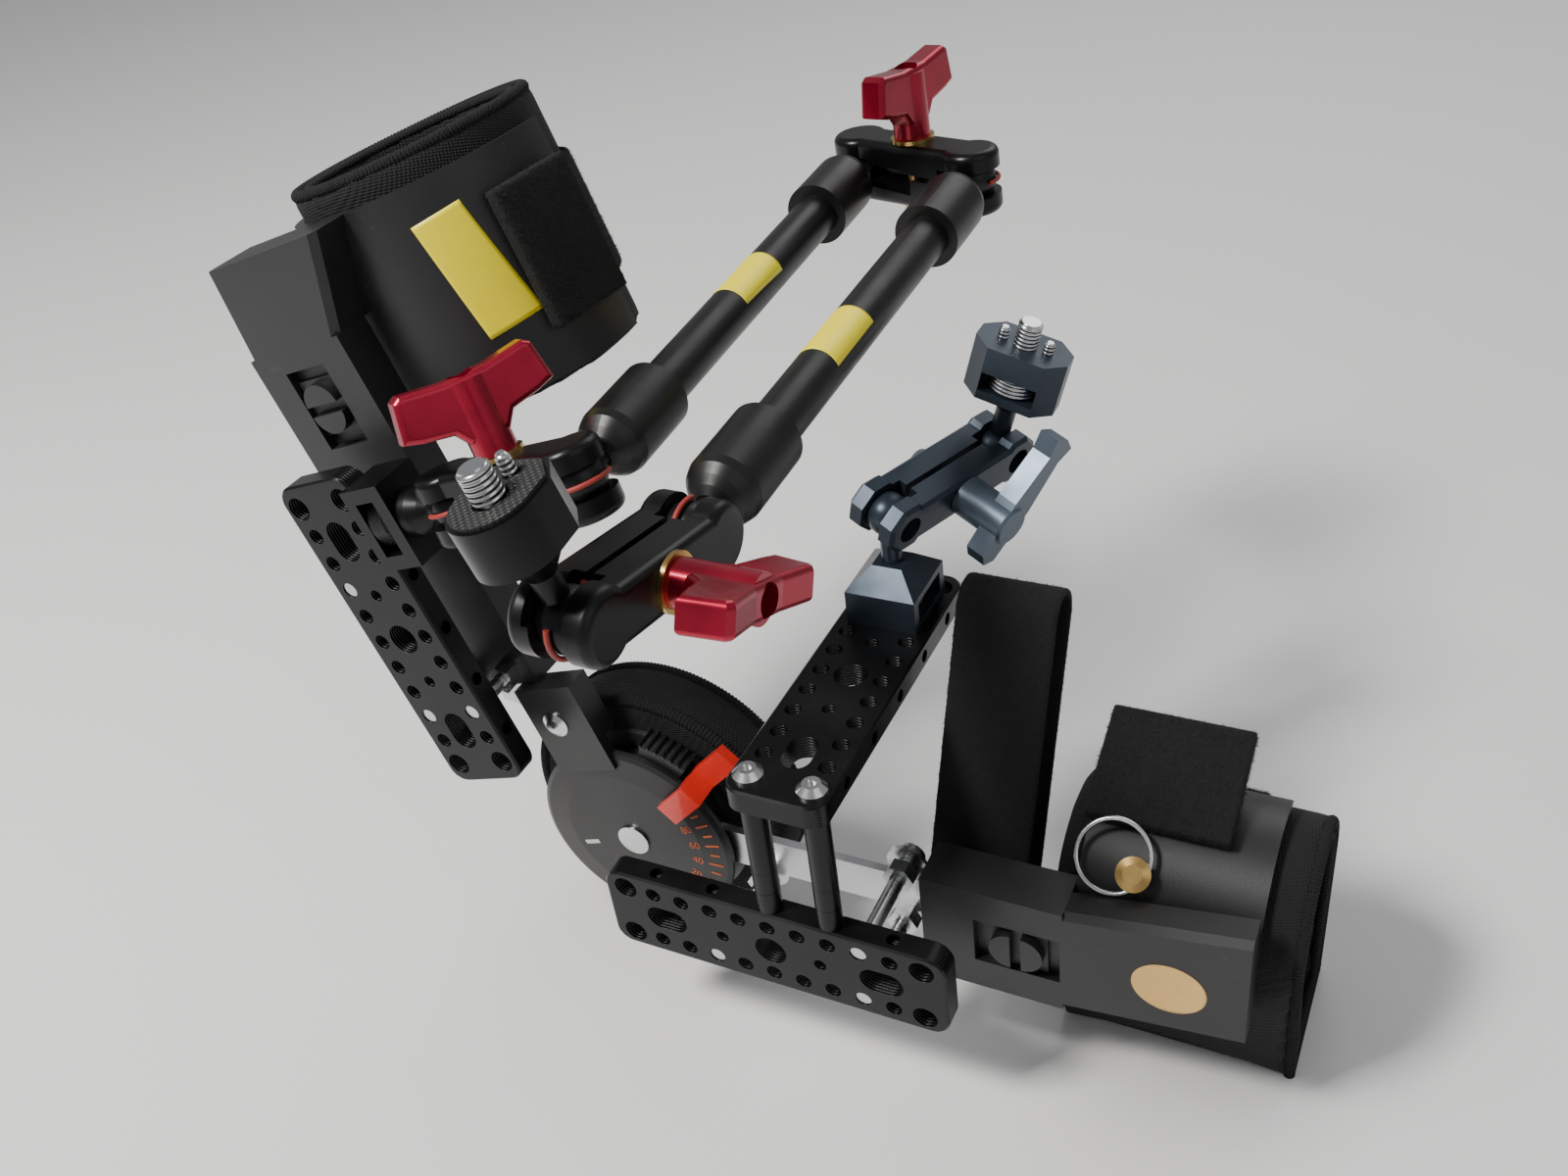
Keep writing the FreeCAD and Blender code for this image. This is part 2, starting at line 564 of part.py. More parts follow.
def slider(prefix, arm, centre, face, thick, start, end, bar_depth, button_reach):
    """A sleeve that telescopes on its bar, with a recess in its face for a slide button."""
    half = s.slider_width / 2
    bar_half = half_bar + s.bar_slack
    shell = block(prefix + "_slider_block", (centre - half, face, start), (centre + half, face + thick, end))
    channel = block(prefix + "_slider_channel", (centre - bar_half, bar_depth - s.bar_slack, start - 1),
                    (centre + bar_half, bar_depth + s.bar_thick + s.bar_slack, end - 0.8))
    room = s.button_travel + 1
    recess = block(prefix + "_slider_recess",
                   (centre - s.button_width / 2 - 0.5, face - 1, button_reach - s.button_length / 2 - room),
                   (centre + s.button_width / 2 + 0.5, face + s.recess_depth, button_reach + s.button_length / 2 + room))
    publish(prefix + "_slider", cut(prefix + "_slider", shell, channel, recess), arm)
    plate_part = block(prefix + "_button_plate",
                       (centre - s.button_width / 2, face + s.recess_depth - 1.6, button_reach - s.button_length / 2),
                       (centre + s.button_width / 2, face + s.recess_depth - 0.1, button_reach + s.button_length / 2))
    grips = []
    for k, (offset, turn) in enumerate(((-2.0, 180), (2.0, 0))):
        grips.append(rod(f"{prefix}_button_grip_{k}", (centre, face + s.recess_depth - 1, button_reach + offset),
                         s.button_length / 2 - 3, s.recess_depth + 0.5,
                         FreeCAD.Rotation(Vector(0, 1, 0), turn).multiply(TO_FRONT), Angle=180))
    publish(prefix + "_button", fuse(prefix + "_button", plate_part, *grips), arm)


slider("forearm", FORE, BAR_SIDE, s.forearm_face, s.forearm_slider_thick, s.forearm_slider_start,
       s.forearm_slider_end, s.forearm_bar_depth, s.forearm_slider_end - 17)
slider("upper", UPPER, s.upper_plate_side, s.upper_face, s.upper_slider_thick, s.upper_slider_start,
       s.upper_slider_end, s.upper_bar_depth, s.upper_slider_end - 24)

# fixed cover round the upper bar behind its plate, drilled for the plate bolts
half = s.slider_width / 2
cover_block = block("bar_cover_block", (s.upper_plate_side - half, s.upper_face, s.cover_start),
                    (s.upper_plate_side + half, cover_back, s.cover_end))
cover_channel = block("bar_cover_channel", (s.upper_plate_side - half_bar - 0.05, s.upper_bar_depth - 0.05, s.cover_start - 1),
                      (s.upper_plate_side + half_bar + 0.05, s.upper_bar_depth + s.bar_thick + 0.05, s.cover_end + 1))
cover_bores = [rod(f"bar_cover_bore_{k}", (s.upper_plate_side + s.hole_row * row, s.upper_face - 1,
                                           s.upper_plate_reach - s.hole_pitch * step),
                   s.bolt_dia / 2 + s.bolt_gap, s.upper_slider_thick + 2, TO_BACK)
               for k, (step, row) in enumerate(BOLT_HOLES)]
publish("upper_bar_cover", cut("upper_bar_cover", cover_block, cover_channel, *cover_bores), UPPER)


# ---------------------------------------------------------------- cuffs

def arc_band(centre, inner, outer, low, high, start, sweep):
    """Part of a tube along Z: start and sweep in degrees from the local X axis."""
    ring = Part.makeCylinder(outer, high - low, Vector(*centre, low), Vector(0, 0, 1), sweep)
    ring = ring.cut(Part.makeCylinder(inner, high - low + 2, Vector(*centre, low - 1)))
    ring.rotate(Vector(*centre, 0), Vector(0, 0, 1), start)
    return ring


def cuff_shell(label, arm, side, centre, radius, low, high, reach, rib):
    """Moulded half shell; reach is its arc each way from the front, rib is the boss that meets the slider."""
    inner = radius - float(s.shell_thick)
    begin, finish = -90 + side * reach[0], -90 + side * reach[1]
    shell = arc_band(centre, inner, radius, low, high, min(begin, finish), abs(finish - begin))
    corners, face, depth = rib
    points = [Vector(x, face, z) for x, z in corners]
    boss = Part.Face(Part.makePolygon(points + points[:1])).extrude(Vector(0, depth, 0))
    boss = boss.makeChamfer(2.5, [edge for edge in boss.Edges if edge.BoundBox.YMax < face + 0.1
                                  and abs(edge.tangentAt(edge.FirstParameter).x) < 0.9])
    boss = boss.cut(Part.makeCylinder(inner, high - low + 80, Vector(*centre, low - 40)))
    publish(label, shaped(label, shell.fuse(boss).removeSplitter()), arm)


def ring_liner(label, arm, centre, outer, thick, low, high):
    """A plain round soft liner."""
    tube = Part.makeCylinder(outer, high - low, Vector(*centre, low))
    tube = tube.cut(Part.makeCylinder(outer - thick, high - low + 2, Vector(*centre, low - 1)))
    publish(label, shaped(label, tube), arm)


def hull_face(centre, radius, corners):
    """Face of the smallest outline round a circle and two corners that lie to its +X side."""
    circle_centre = Vector(*centre, 0)
    tangents = []
    for turn, corner in zip((1, -1), corners):
        offset = Vector(*corner, 0) - circle_centre
        bearing = math.atan2(offset.y, offset.x)
        angle = bearing + turn * math.acos(radius / offset.Length)
        tangents.append(circle_centre + Vector(math.cos(angle), math.sin(angle), 0) * radius)
    far_side = circle_centre - Vector(radius, 0, 0)
    first, second = (Vector(*corner, 0) for corner in corners)
    edges = [Part.Arc(tangents[0], far_side, tangents[1]).toShape(), Part.makeLine(tangents[1], second),
             Part.makeLine(second, first), Part.makeLine(first, tangents[0])]
    return Part.Face(Part.Wire(edges))


def pile_tab(centre, radius, side, bearing, start, end, low, high):
    """The fuzzy strap end: a flat slab that leaves the shell along its tangent."""
    angle = math.radians(-90 + side * bearing)
    outward = Vector(math.cos(angle), math.sin(angle), 0)
    along = Vector(-math.sin(angle), math.cos(angle), 0) * side
    thick = float(s.tab_pile_thick)
    slab = Part.makeBox(end - start, thick, high - low)
    base = Vector(*centre, low) + outward * (radius + float(s.soft_gap)) + along * start
    if side < 0:
        slab = Part.makeBox(end - start, thick, high - low, Vector(0, -thick, 0))
    place = frame(base, along, Vector(0, 0, 1))
    slab.Placement = place
    if slab.CenterOfMass.sub(Vector(*centre, slab.CenterOfMass.z)).dot(outward) < radius + thick / 4:
        slab.Placement = place.multiply(at(0, -thick if side > 0 else thick, 0))
    return slab


FORE_CENTRE = (float(s.forearm_cuff_side), float(s.forearm_cuff_depth))
UPPER_CENTRE = (float(s.upper_cuff_side), float(s.upper_cuff_depth))
fore_radius, upper_radius = float(s.forearm_cuff_radius), float(s.upper_cuff_radius)
fore_low, fore_high = float(s.forearm_slider_end), float(s.forearm_cuff_end)
upper_low, upper_high = float(s.upper_cuff_start), float(s.upper_cuff_end)
FORE_ARC, UPPER_ARC = (-16, 115), (-75, 100)
bar_side, fore_half = float(BAR_SIDE), float(s.slider_width) / 2
fore_rib = (((bar_side - fore_half, fore_low), (bar_side - 34, fore_high), (bar_side + 17.6, fore_high),
             (bar_side + fore_half, fore_low)), float(s.forearm_face), 12.0)
upper_mid_side, seam = float(s.upper_plate_side), float(s.upper_slider_end)
upper_rib = (((upper_mid_side - fore_half, seam), (upper_mid_side - fore_half + 4, upper_high),
              (upper_mid_side + 40, upper_high), (upper_mid_side + fore_half, seam)), float(s.upper_face), 24.0)
cuff_shell("forearm_cuff_shell", FORE, -1, FORE_CENTRE, fore_radius, fore_low, fore_high, FORE_ARC, fore_rib)
cuff_shell("upper_cuff_shell", UPPER, 1, UPPER_CENTRE, upper_radius, upper_low, upper_high, UPPER_ARC, upper_rib)

gap, liner_thick = float(s.soft_gap), float(s.liner_thick)
over = float(s.liner_over)
upper_liner = upper_radius - float(s.shell_thick) - gap
ring_liner("upper_cuff_liner", UPPER, UPPER_CENTRE, upper_liner, liner_thick, upper_low - 3, upper_high + over)

# the forearm liner hangs below its shell and makes the rig's flat foot
fore_liner = fore_radius - float(s.shell_thick) - gap
foot_x = float(s.table_drop) - float(s.elbow_drop)
foot_half = float(s.foot_width) / 2
foot_mid = FORE_CENTRE[1] + 4
foot = ((foot_x, foot_mid + foot_half), (foot_x, foot_mid - foot_half))
liner_face = hull_face(FORE_CENTRE, fore_liner, foot)
liner_hole = hull_face(FORE_CENTRE, fore_liner - liner_thick,
                       ((foot_x - liner_thick, foot_mid + foot_half - liner_thick * 1.4),
                        (foot_x - liner_thick, foot_mid - foot_half + liner_thick * 1.4)))
low, high = fore_low - over, fore_high + over + 4
liner = liner_face.extrude(Vector(0, 0, high - low)).cut(liner_hole.extrude(Vector(0, 0, high - low)))
liner.translate(Vector(0, 0, low))
slider_room = Part.makeBox(100, float(s.forearm_face + s.forearm_slider_thick) + gap, over + 1,
                           Vector(-50, 0, fore_low - over))
liner = liner.cut(slider_room)
publish("forearm_cuff_liner", shaped("forearm_cuff_liner", liner), FORE)

strap_thick, strap_width = float(s.strap_thick), float(s.strap_width)
fore_mid, upper_strap_mid = (fore_low + fore_high) / 2, upper_low + 42
upper_band = arc_band(UPPER_CENTRE, upper_liner + gap, upper_liner + gap + strap_thick,
                      upper_strap_mid - strap_width / 2, upper_strap_mid + strap_width / 2,
                      -90 + UPPER_ARC[1] + 1, 360 - (UPPER_ARC[1] - UPPER_ARC[0]) - 2)
upper_tab = pile_tab(UPPER_CENTRE, upper_radius, 1, 75, -16, 18, upper_low + 17, upper_low + 69)
publish("upper_cuff_strap", shaped("upper_cuff_strap", Part.makeCompound([upper_band, upper_tab])), UPPER)

fore_band = arc_band(FORE_CENTRE, fore_liner + gap, fore_liner + gap + strap_thick,
                     fore_mid - strap_width / 2, fore_mid + strap_width / 2,
                     -90 - FORE_ARC[1] - 1 - 52, 52)
fore_tab = pile_tab(FORE_CENTRE, fore_radius, -1, 67, 0, 44, fore_low - 2, fore_low + 49)
publish("forearm_cuff_strap", shaped("forearm_cuff_strap", Part.makeCompound([fore_band, fore_tab])), FORE)


def loop_strap():
    """The loose wide strap: a racetrack loop that stands up behind the forearm slider."""
    radius = 11.0
    foot_end = Vector(-2, float(s.forearm_face + s.forearm_slider_thick) + gap + radius, 0)
    top_end = Vector(-98, 104, 0)
    along = (top_end - foot_end).normalize()
    across = Vector(-along.y, along.x, 0)
    faces = []
    for reach in (radius, radius - strap_thick):
        a, b = foot_end + across * reach, top_end + across * reach
        c, d = top_end - across * reach, foot_end - across * reach
        edges = [Part.makeLine(a, b), Part.Arc(b, top_end + along * reach, c).toShape(), Part.makeLine(c, d),
                 Part.Arc(d, foot_end - along * reach, a).toShape()]
        faces.append(Part.Face(Part.Wire(edges)))
    width = Vector(0, 0, strap_width - 8)
    loop = faces[0].extrude(width).cut(faces[1].extrude(width))
    loop.translate(Vector(0, 0, float(s.forearm_slider_end) - 59))
    return loop


publish("loop_strap", shaped("loop_strap", loop_strap()), FORE)

# a brass stud on the forearm shell carries a split ring
STUD_BEARING = 45.0
stud_angle = math.radians(-90 - STUD_BEARING)
stud_out = FORE.Rotation.multVec(Vector(math.cos(stud_angle), math.sin(stud_angle), 0))
stud_foot = FORE.multVec(Vector(FORE_CENTRE[0] + fore_radius * math.cos(stud_angle),
                                FORE_CENTRE[1] + fore_radius * math.sin(stud_angle), fore_low + 20))
STUD = frame(stud_foot, FORE_ALONG, stud_out)
stud = turned("ring_stud", (
    (0, -1.5), (2.4, -1.5), (2.4, 0.3), (5.0, 0.3), (5.0, 0.9), (2.4, 0.9), (2.4, 5.7), (6.2, 5.7), (6.2, 6.7),
    (3.4, 7.8), (0, 7.8)))
publish("ring_stud", stud, STUD)
shell_item = next(item for item in subparts if item.Label == "forearm_cuff_shell")
bore = Part.makeCylinder(2.5, 12, Vector(0, 0, -8))
bore.Placement = STUD
shell_item.Shape = shell_item.Shape.cut(bore)
shell_item.Placement = Placement()
RING_RADIUS, RING_WIRE, RING_LIFT = 13.0, 0.9, 4.5
ring_side = Vector(-0.867, 0.498, 0).normalize()
ring_offset = ring_side * (RING_RADIUS - RING_WIRE - 2.4 - 0.25)
ring = primitive("Torus", "split_ring", (0, 0, 0), Radius1=RING_RADIUS, Radius2=RING_WIRE)
publish("split_ring", ring, STUD.multiply(at(ring_offset.x, ring_offset.y, RING_LIFT)))


# ---------------------------------------------------------------- ball joints and the long arm

ball_radius, neck_radius = float(s.ball_dia) / 2, float(s.neck_dia) / 2


def stem_fan(centre, stem, axis, spread, radius, length=32.0):
    """Room for a ball's neck as it swings about the clamp axis, spread degrees each way."""
    in_plane = stem - axis * stem.dot(axis)
    lift = stem.dot(axis)
    across = axis - stem * lift
    across.normalize()
    low = centre + stem * 4.0
    face = Part.Face(Part.makePolygon([
        low - across * radius, low + stem * length - across * radius,
        low + stem * length + across * radius, low + across * radius, low - across * radius]))
    in_plane.normalize()
    face.rotate(centre, axis, -spread)
    return face.revolve(centre, axis, 2 * spread)


def bone_frame(start, end, clamp):
    """Frame of a clamp: origin midway between its balls, X along it, Z towards the wing nut."""
    along = (end - start).normalize()
    clamp = clamp - along * clamp.dot(along)
    return frame((start + end) / 2, along, clamp)


def jaw_solid(half_pitch, end_radius, waist, inner, relief, outer, socket, clamp_radius, faceted):
    """Upper half of a two-ball clamp, in the clamp's own frame."""
    depth = outer - inner
    if faceted:
        ends = []
        for side in (1, -1):
            corner = [Vector(side * half_pitch + end_radius * math.cos(math.radians(a)),
                             end_radius * math.sin(math.radians(a)), inner) for a in range(22, 383, 45)]
            ends.append(Part.Face(Part.makePolygon(corner)).extrude(Vector(0, 0, depth)))
    else:
        ends = [Part.makeCylinder(end_radius, depth, Vector(side * half_pitch, 0, inner)) for side in (1, -1)]
    web = Part.makeBox(2 * half_pitch, 2 * waist, depth, Vector(-half_pitch, -waist, inner))
    jaw = web.fuse(ends).removeSplitter()
    rims = [edge for edge in jaw.Edges if all(abs(v.Z - outer) < 0.01 for v in edge.Vertexes)]
    jaw = jaw.makeChamfer(1.4, rims) if faceted else jaw.makeFillet(3.0, rims)
    cuts = [Part.makeCylinder(clamp_radius, 40, Vector(0, 0, -1))]
    for side in (1, -1):
        inward = half_pitch - socket - 1.0
        start = inward if side > 0 else -(inward + 60)
        cuts.append(Part.makeBox(60, 60, relief - inner + 1, Vector(start, -30, inner - 1)))
        cuts.append(Part.makeSphere(socket, Vector(side * half_pitch, 0, 0)))
        if faceted:
            cuts.append(Part.makeCylinder(socket * 0.62, 40, Vector(side * half_pitch, 0, 0)))
    for tool in cuts:
        jaw = jaw.cut(tool)
    return jaw


def clamp_jaws(name, place, pitch, sizes, fans):
    """Both halves of a clamp with room cut for the two necks."""
    half_pitch = float(pitch) / 2
    end_radius, waist, inner, relief, outer, socket, clamp_radius, faceted = sizes
    upper = jaw_solid(half_pitch, end_radius, waist, inner, relief, outer, socket, clamp_radius, faceted)
    lower = upper.mirror(Vector(0, 0, 0), Vector(0, 0, 1))
    halves = []
    for half_jaw in (upper, lower):
        half_jaw.Placement = place
        for fan in fans:
            half_jaw = half_jaw.cut(fan)
        solid = max(half_jaw.Solids, key=lambda piece: piece.Volume)
        halves.append(solid)
    publish(name + "_jaws", shaped(name + "_jaws", Part.makeCompound(halves)))


def direction(*parts):
    """A unit vector."""
    return Vector(*parts).normalize()


base_step = -4 * float(s.hole_pitch)
plate_mid = float(s.plate_thick) / 2
BALL_BASE = UPPER_PLATE.multVec(Vector(base_step, float(s.plate_width) / 2 + float(s.base_ball), plate_mid))
pitch, tube_reach = float(s.bone_pitch), float(s.tube_reach)
BALL_1 = BALL_BASE + direction(0.934, -0.072, 0.347) * pitch
BALL_2 = BALL_1 + direction(-0.018, 0.9984, 0.0507) * tube_reach
BALL_3 = BALL_2 + direction(0.934, -0.352, 0.064) * pitch
BALL_4 = BALL_3 + direction(0.0, -0.9985, -0.054) * tube_reach
BALL_HEAD = BALL_4 + direction(-0.022, -0.983, 0.182) * pitch
HEAD_AXIS = direction(-0.22, -0.13, 0.967)
BASE_AXIS = UPPER_PLATE.Rotation.multVec(Vector(0, 1, 0))
CLAMPS = {
    "lower": bone_frame(BALL_BASE, BALL_1, Vector(-0.31, 0.1, 0.95)),
    "far": bone_frame(BALL_2, BALL_3, Vector(0, 0, 1)),
    "front": bone_frame(BALL_4, BALL_HEAD, Vector(1, 0, 0)),
}
STEMS = {
    "lower": ((BALL_BASE, -BASE_AXIS), (BALL_1, (BALL_2 - BALL_1).normalize())),
    "far": ((BALL_2, (BALL_1 - BALL_2).normalize()), (BALL_3, (BALL_4 - BALL_3).normalize())),
    "front": ((BALL_4, (BALL_3 - BALL_4).normalize()), (BALL_HEAD, HEAD_AXIS)),
}
NECK_SPREAD = 62.0
JAW_SIZES = (float(s.jaw_end), float(s.jaw_waist), float(s.jaw_gap), float(s.jaw_relief), float(s.jaw_half),
             ball_radius + float(s.socket_gap), float(s.clamp_dia) / 2 + 0.15, False)

screw = turned("clamp_screw_master", (
    (0, -(s.jaw_half + 3.2)), (4.5, -(s.jaw_half + 3.2)), (6.5, -(s.jaw_half + 1.2)), (6.5, -s.jaw_half - 0.05),
    (s.clamp_dia / 2, -s.jaw_half - 0.05), (s.clamp_dia / 2, s.jaw_half + 0.05),
    (s.flange_dia / 2, s.jaw_half + 0.05), (s.flange_dia / 2, s.jaw_half + s.flange_thick),
    (s.clamp_dia / 2, s.jaw_half + s.flange_thick), (s.clamp_dia / 2, s.jaw_half + s.clamp_reach),
    (0, s.jaw_half + s.clamp_reach)))


def wing_nut_shape():
    """A tee-shaped wing nut, standing on Z = 0, drilled from both ends."""
    span, rise = float(s.wing_span) / 2, float(s.wing_rise)
    neck, thick = float(s.wing_neck) / 2, float(s.wing_thick)
    side = [(neck - 0.5, 6), (neck + 3, 11), (span - 6, 13), (span, 15), (span - 2.5, rise - 1.5),
            (span - 5, rise), (neck, rise - 2)]
    points = [Vector(x, -thick / 2, z) for x, z in side] + [Vector(-x, -thick / 2, z) for x, z in reversed(side)]
    wings = Part.Face(Part.makePolygon(points + points[:1])).extrude(Vector(0, thick, 0))
    wings = wings.makeFillet(2.2, [edge for edge in wings.Edges if abs(edge.tangentAt(edge.FirstParameter).y) < 0.1])
    stem = Part.makeCylinder(neck, rise - 4)
    nut = wings.fuse(stem)
    nut = nut.cut(Part.makeCylinder(float(s.clamp_dia) / 2 + 0.06, rise - 11))
    return nut.cut(Part.makeCylinder(5.0, 20, Vector(0, 0, rise - 9)))


wing_nut = shaped("wing_nut_master", wing_nut_shape())
WING_TURN = {"lower": 60.0, "far": 100.0, "front": -11.0}
for name, place in CLAMPS.items():
    axis = place.Rotation.multVec(UP)
    fans = [stem_fan(ball, stem, axis, NECK_SPREAD, neck_radius + 0.6) for ball, stem in STEMS[name]]
    clamp_jaws(name, place, s.bone_pitch, JAW_SIZES, fans)
    publish(name + "_clamp_screw", group(name + "_clamp_screw", (screw, [place])))
    turn = FreeCAD.Rotation(UP, WING_TURN[name])
    nut_place = place.multiply(at(0, 0, s.jaw_half + s.flange_thick + 0.1, turn))
    publish(name + "_wing_nut", group(name + "_wing_nut", (wing_nut, [nut_place])))
    rings = []
    for ball, stem in STEMS[name]:
        ring_shape = Part.makeTorus(ball_radius + 1.0, 0.85, ball, axis)
        fan = stem_fan(ball, stem, axis, NECK_SPREAD, neck_radius + 0.4)
        ring_shape = ring_shape.cut(fan)
        rings.append(ring_shape)
    publish(name + "_seal_rings", shaped(name + "_seal_rings", Part.makeCompound(rings)))

tube_radius, seat = s.tube_dia / 2, s.collar_start + s.collar_seat

def ball_and_neck(radius, neck, length):
    """A ball at the origin with its neck along +Z, as one solid."""
    ball = Part.makeSphere(radius)
    return ball.fuse(Part.makeCylinder(neck, length)).removeSplitter()


collar = turned("collar_master", (
    (0, s.collar_start - 1.5), (s.neck_dia / 2 + 0.5, s.collar_start - 1.5), (s.neck_dia / 2 + 3, s.collar_start + 0.5),
    (s.collar_dia / 2 - 3, s.collar_start + 3), (s.collar_dia / 2 - 0.8, s.collar_start + 6),
    (s.collar_dia / 2, s.collar_start + 9), (s.collar_dia / 2, s.collar_start + s.collar_length),
    (tube_radius + 0.05, s.collar_start + s.collar_length), (tube_radius + 0.05, seat), (0, seat)))
collar_ball = primitive("Sphere", "collar_ball", (0, 0, 0), Radius=s.ball_dia / 2)
collar_neck = rod("collar_neck", (0, 0, 0), s.neck_dia / 2, s.collar_start)
end_master = fuse("tube_end_master", collar, collar_ball, collar_neck)
tube_blank = rod("tube_blank", (0, 0, seat), tube_radius, s.tube_reach - seat * 2)
tube_bore = rod("tube_bore", (0, 0, seat - 1), tube_radius - s.tube_wall, s.tube_reach - seat * 2 + 2)
tube_master = cut("tube_master", tube_blank, tube_bore)
for label, start, end in (("rear_tube", BALL_1, BALL_2), ("front_tube", BALL_3, BALL_4)):
    along = (end - start).normalize()
    start_place, end_place = frame(start, UP, along), frame(end, UP, -along)
    publish(label, group(label, (tube_master, [start_place])))
    publish(label + "_ends", group(label + "_ends", (end_master, [start_place, end_place])))

# base block on the upper plate's edge, with its thumbwheel in a window
half_base, half_thick = s.base_width / 2, s.base_thick / 2
block_low = block("arm_base_block", (-half_base, -half_thick, 0), (half_base, half_thick, s.base_rise - 7))
taper = turned("arm_base_taper", (
    (0, s.base_rise - 8), (s.base_thick / 2 - 0.6, s.base_rise - 8), (s.base_thick / 2 - 1.5, s.base_rise - 4),
    (s.neck_dia / 2 + 2, s.base_rise), (s.neck_dia / 2, s.base_rise + 3), (0, s.base_rise + 3)))
base_neck = rod("arm_base_neck", (0, 0, s.base_rise), s.neck_dia / 2, s.base_ball - s.base_rise)
base_ball = primitive("Sphere", "arm_base_ball", (0, 0, s.base_ball), Radius=s.ball_dia / 2)
wheel_low = 5.0
window = block("arm_base_window", (-(s.wheel_dia / 2 + s.wheel_gap), -40, wheel_low - s.wheel_gap),
               (s.wheel_dia / 2 + s.wheel_gap, 40, wheel_low + s.wheel_thick + s.wheel_gap))
base_bore = rod("arm_base_bore", (0, 0, -1), s.edge_hole / 2, wheel_low + 2)
BASE_PLACE = frame(UPPER_PLATE.multVec(Vector(base_step, float(s.plate_width) / 2, plate_mid)),
                   UPPER_PLATE.Rotation.multVec(Vector(1, 0, 0)), BASE_AXIS)
publish("arm_base", cut("arm_base", fuse("arm_base_joined", block_low, taper, base_neck, base_ball),
                        window, base_bore), BASE_PLACE)
thumbwheel = turned("base_thumbwheel", (
    (0, -(s.edge_depth - 0.4)), (s.wheel_screw / 2, -(s.edge_depth - 0.4)), (s.wheel_screw / 2, wheel_low),
    (s.wheel_dia / 2 - 0.8, wheel_low), (s.wheel_dia / 2, wheel_low + 0.8),
    (s.wheel_dia / 2, wheel_low + s.wheel_thick - 0.8), (s.wheel_dia / 2 - 0.8, wheel_low + s.wheel_thick),
    (0, wheel_low + s.wheel_thick)))
publish("base_thumbwheel", thumbwheel, BASE_PLACE)

# arm head: a platform on the last ball, with a gridded rubber pad, a screw and a locating pin
HEAD = frame(BALL_HEAD, Vector(1, 0, 0), HEAD_AXIS)
half_head, half_long = float(s.head_width) / 2, float(s.head_length) / 2
head_low, head_top = float(s.head_top - s.head_rise), float(s.head_top - s.head_pad_thick)


def head_outline(inset):
    """Face of the head's plan: round towards the operator, cornered at the other end."""
    radius = half_head - inset
    tip = half_long - inset
    shoulder = tip - 8 + inset
    centre_y = -(half_long - half_head)
    points = [Vector(radius, centre_y, 0), Vector(radius, shoulder, 0), Vector(radius - 6, tip, 0),
              Vector(-(radius - 6), tip, 0), Vector(-radius, shoulder, 0), Vector(-radius, centre_y, 0)]
    edges = [Part.makeLine(a, b) for a, b in zip(points, points[1:])]
    edges.append(Part.Arc(points[-1], Vector(0, centre_y - radius, 0), points[0]).toShape())
    return Part.Face(Part.Wire(edges))


head_body = head_outline(0).extrude(Vector(0, 0, head_top - head_low))
head_body.translate(Vector(0, 0, head_low))
head_cone = Part.makeCone(neck_radius, half_head - 2, 9, Vector(0, 0, head_low - 9))
head_body = head_body.fuse([head_cone, ball_and_neck(ball_radius, neck_radius, head_low)]).removeSplitter()
screw_radius = float(s.head_screw) / 2
head_body = head_body.cut(Part.makeCylinder(float(s.screw_neck) + 0.05, 9, Vector(0, -2, head_top - 8)))
head_body = head_body.cut(Part.makeCylinder(2.05, 9, Vector(0, 8, head_top - 8)))
publish("arm_head", shaped("arm_head", head_body), HEAD)
pad_shape = head_outline(1.2).extrude(Vector(0, 0, float(s.head_pad_thick)))
pad_shape.translate(Vector(0, 0, head_top))
for x, y, radius in ((0, -2, screw_radius + 0.6), (0, 8, 2.6)):
    pad_shape = pad_shape.cut(Part.makeCylinder(radius, 4, Vector(x, y, head_top - 1)))
publish("head_pad", shaped("head_pad", pad_shape), HEAD)
top = s.head_top
head_screw = turned("head_screw_master", (
    (0, top - 9), (s.screw_neck, top - 9), (s.screw_neck, top), (s.head_screw / 2, top),
    (s.head_screw / 2, top + s.screw_rise - 1), (s.head_screw / 2 - 1, top + s.screw_rise), (0, top + s.screw_rise)))
head_pin = turned("head_pin_master", (
    (0, top - 9), (2, top - 9), (2, top + 5), (1.2, top + 6.5), (0, top + 6.5)))
publish("head_screw", group("head_screw", (head_screw, [HEAD.multiply(at(0, -2, 0))]),
                            (head_pin, [HEAD.multiply(at(0, 8, 0))])))


# ---------------------------------------------------------------- short arm on the top plate

SMALL_BASE = TOP_PLATE.multiply(at(s.slot_centre, 0, s.plate_thick))
small_radius, small_neck = float(s.small_ball) / 2, float(s.small_neck) / 2
half_w, half_l = s.small_base_width / 2, s.small_base_length / 2
small_block = block("small_base_block", (-half_l, -half_w, 0), (half_l, half_w, s.small_base_rise - 8))
small_taper = primitive("Wedge", "small_base_taper", (0, 0, s.small_base_rise - 8),
                        Xmin=-half_l, Xmax=half_l, Ymin=0, Ymax=8, Zmin=-half_w, Zmax=half_w,
                        X2min=-6, X2max=6, Z2min=-6, Z2max=6)
small_taper.Placement = Placement(Vector(0, 0, float(s.small_base_rise) - 8), FreeCAD.Rotation(Vector(1, 0, 0), 90))
small_base_neck = rod("small_base_neck", (0, 0, s.small_base_rise - 1), s.small_neck / 2,
                      s.small_ball_rise - s.small_base_rise)
small_base_ball = primitive("Sphere", "small_base_ball", (0, 0, s.small_ball_rise), Radius=s.small_ball / 2)
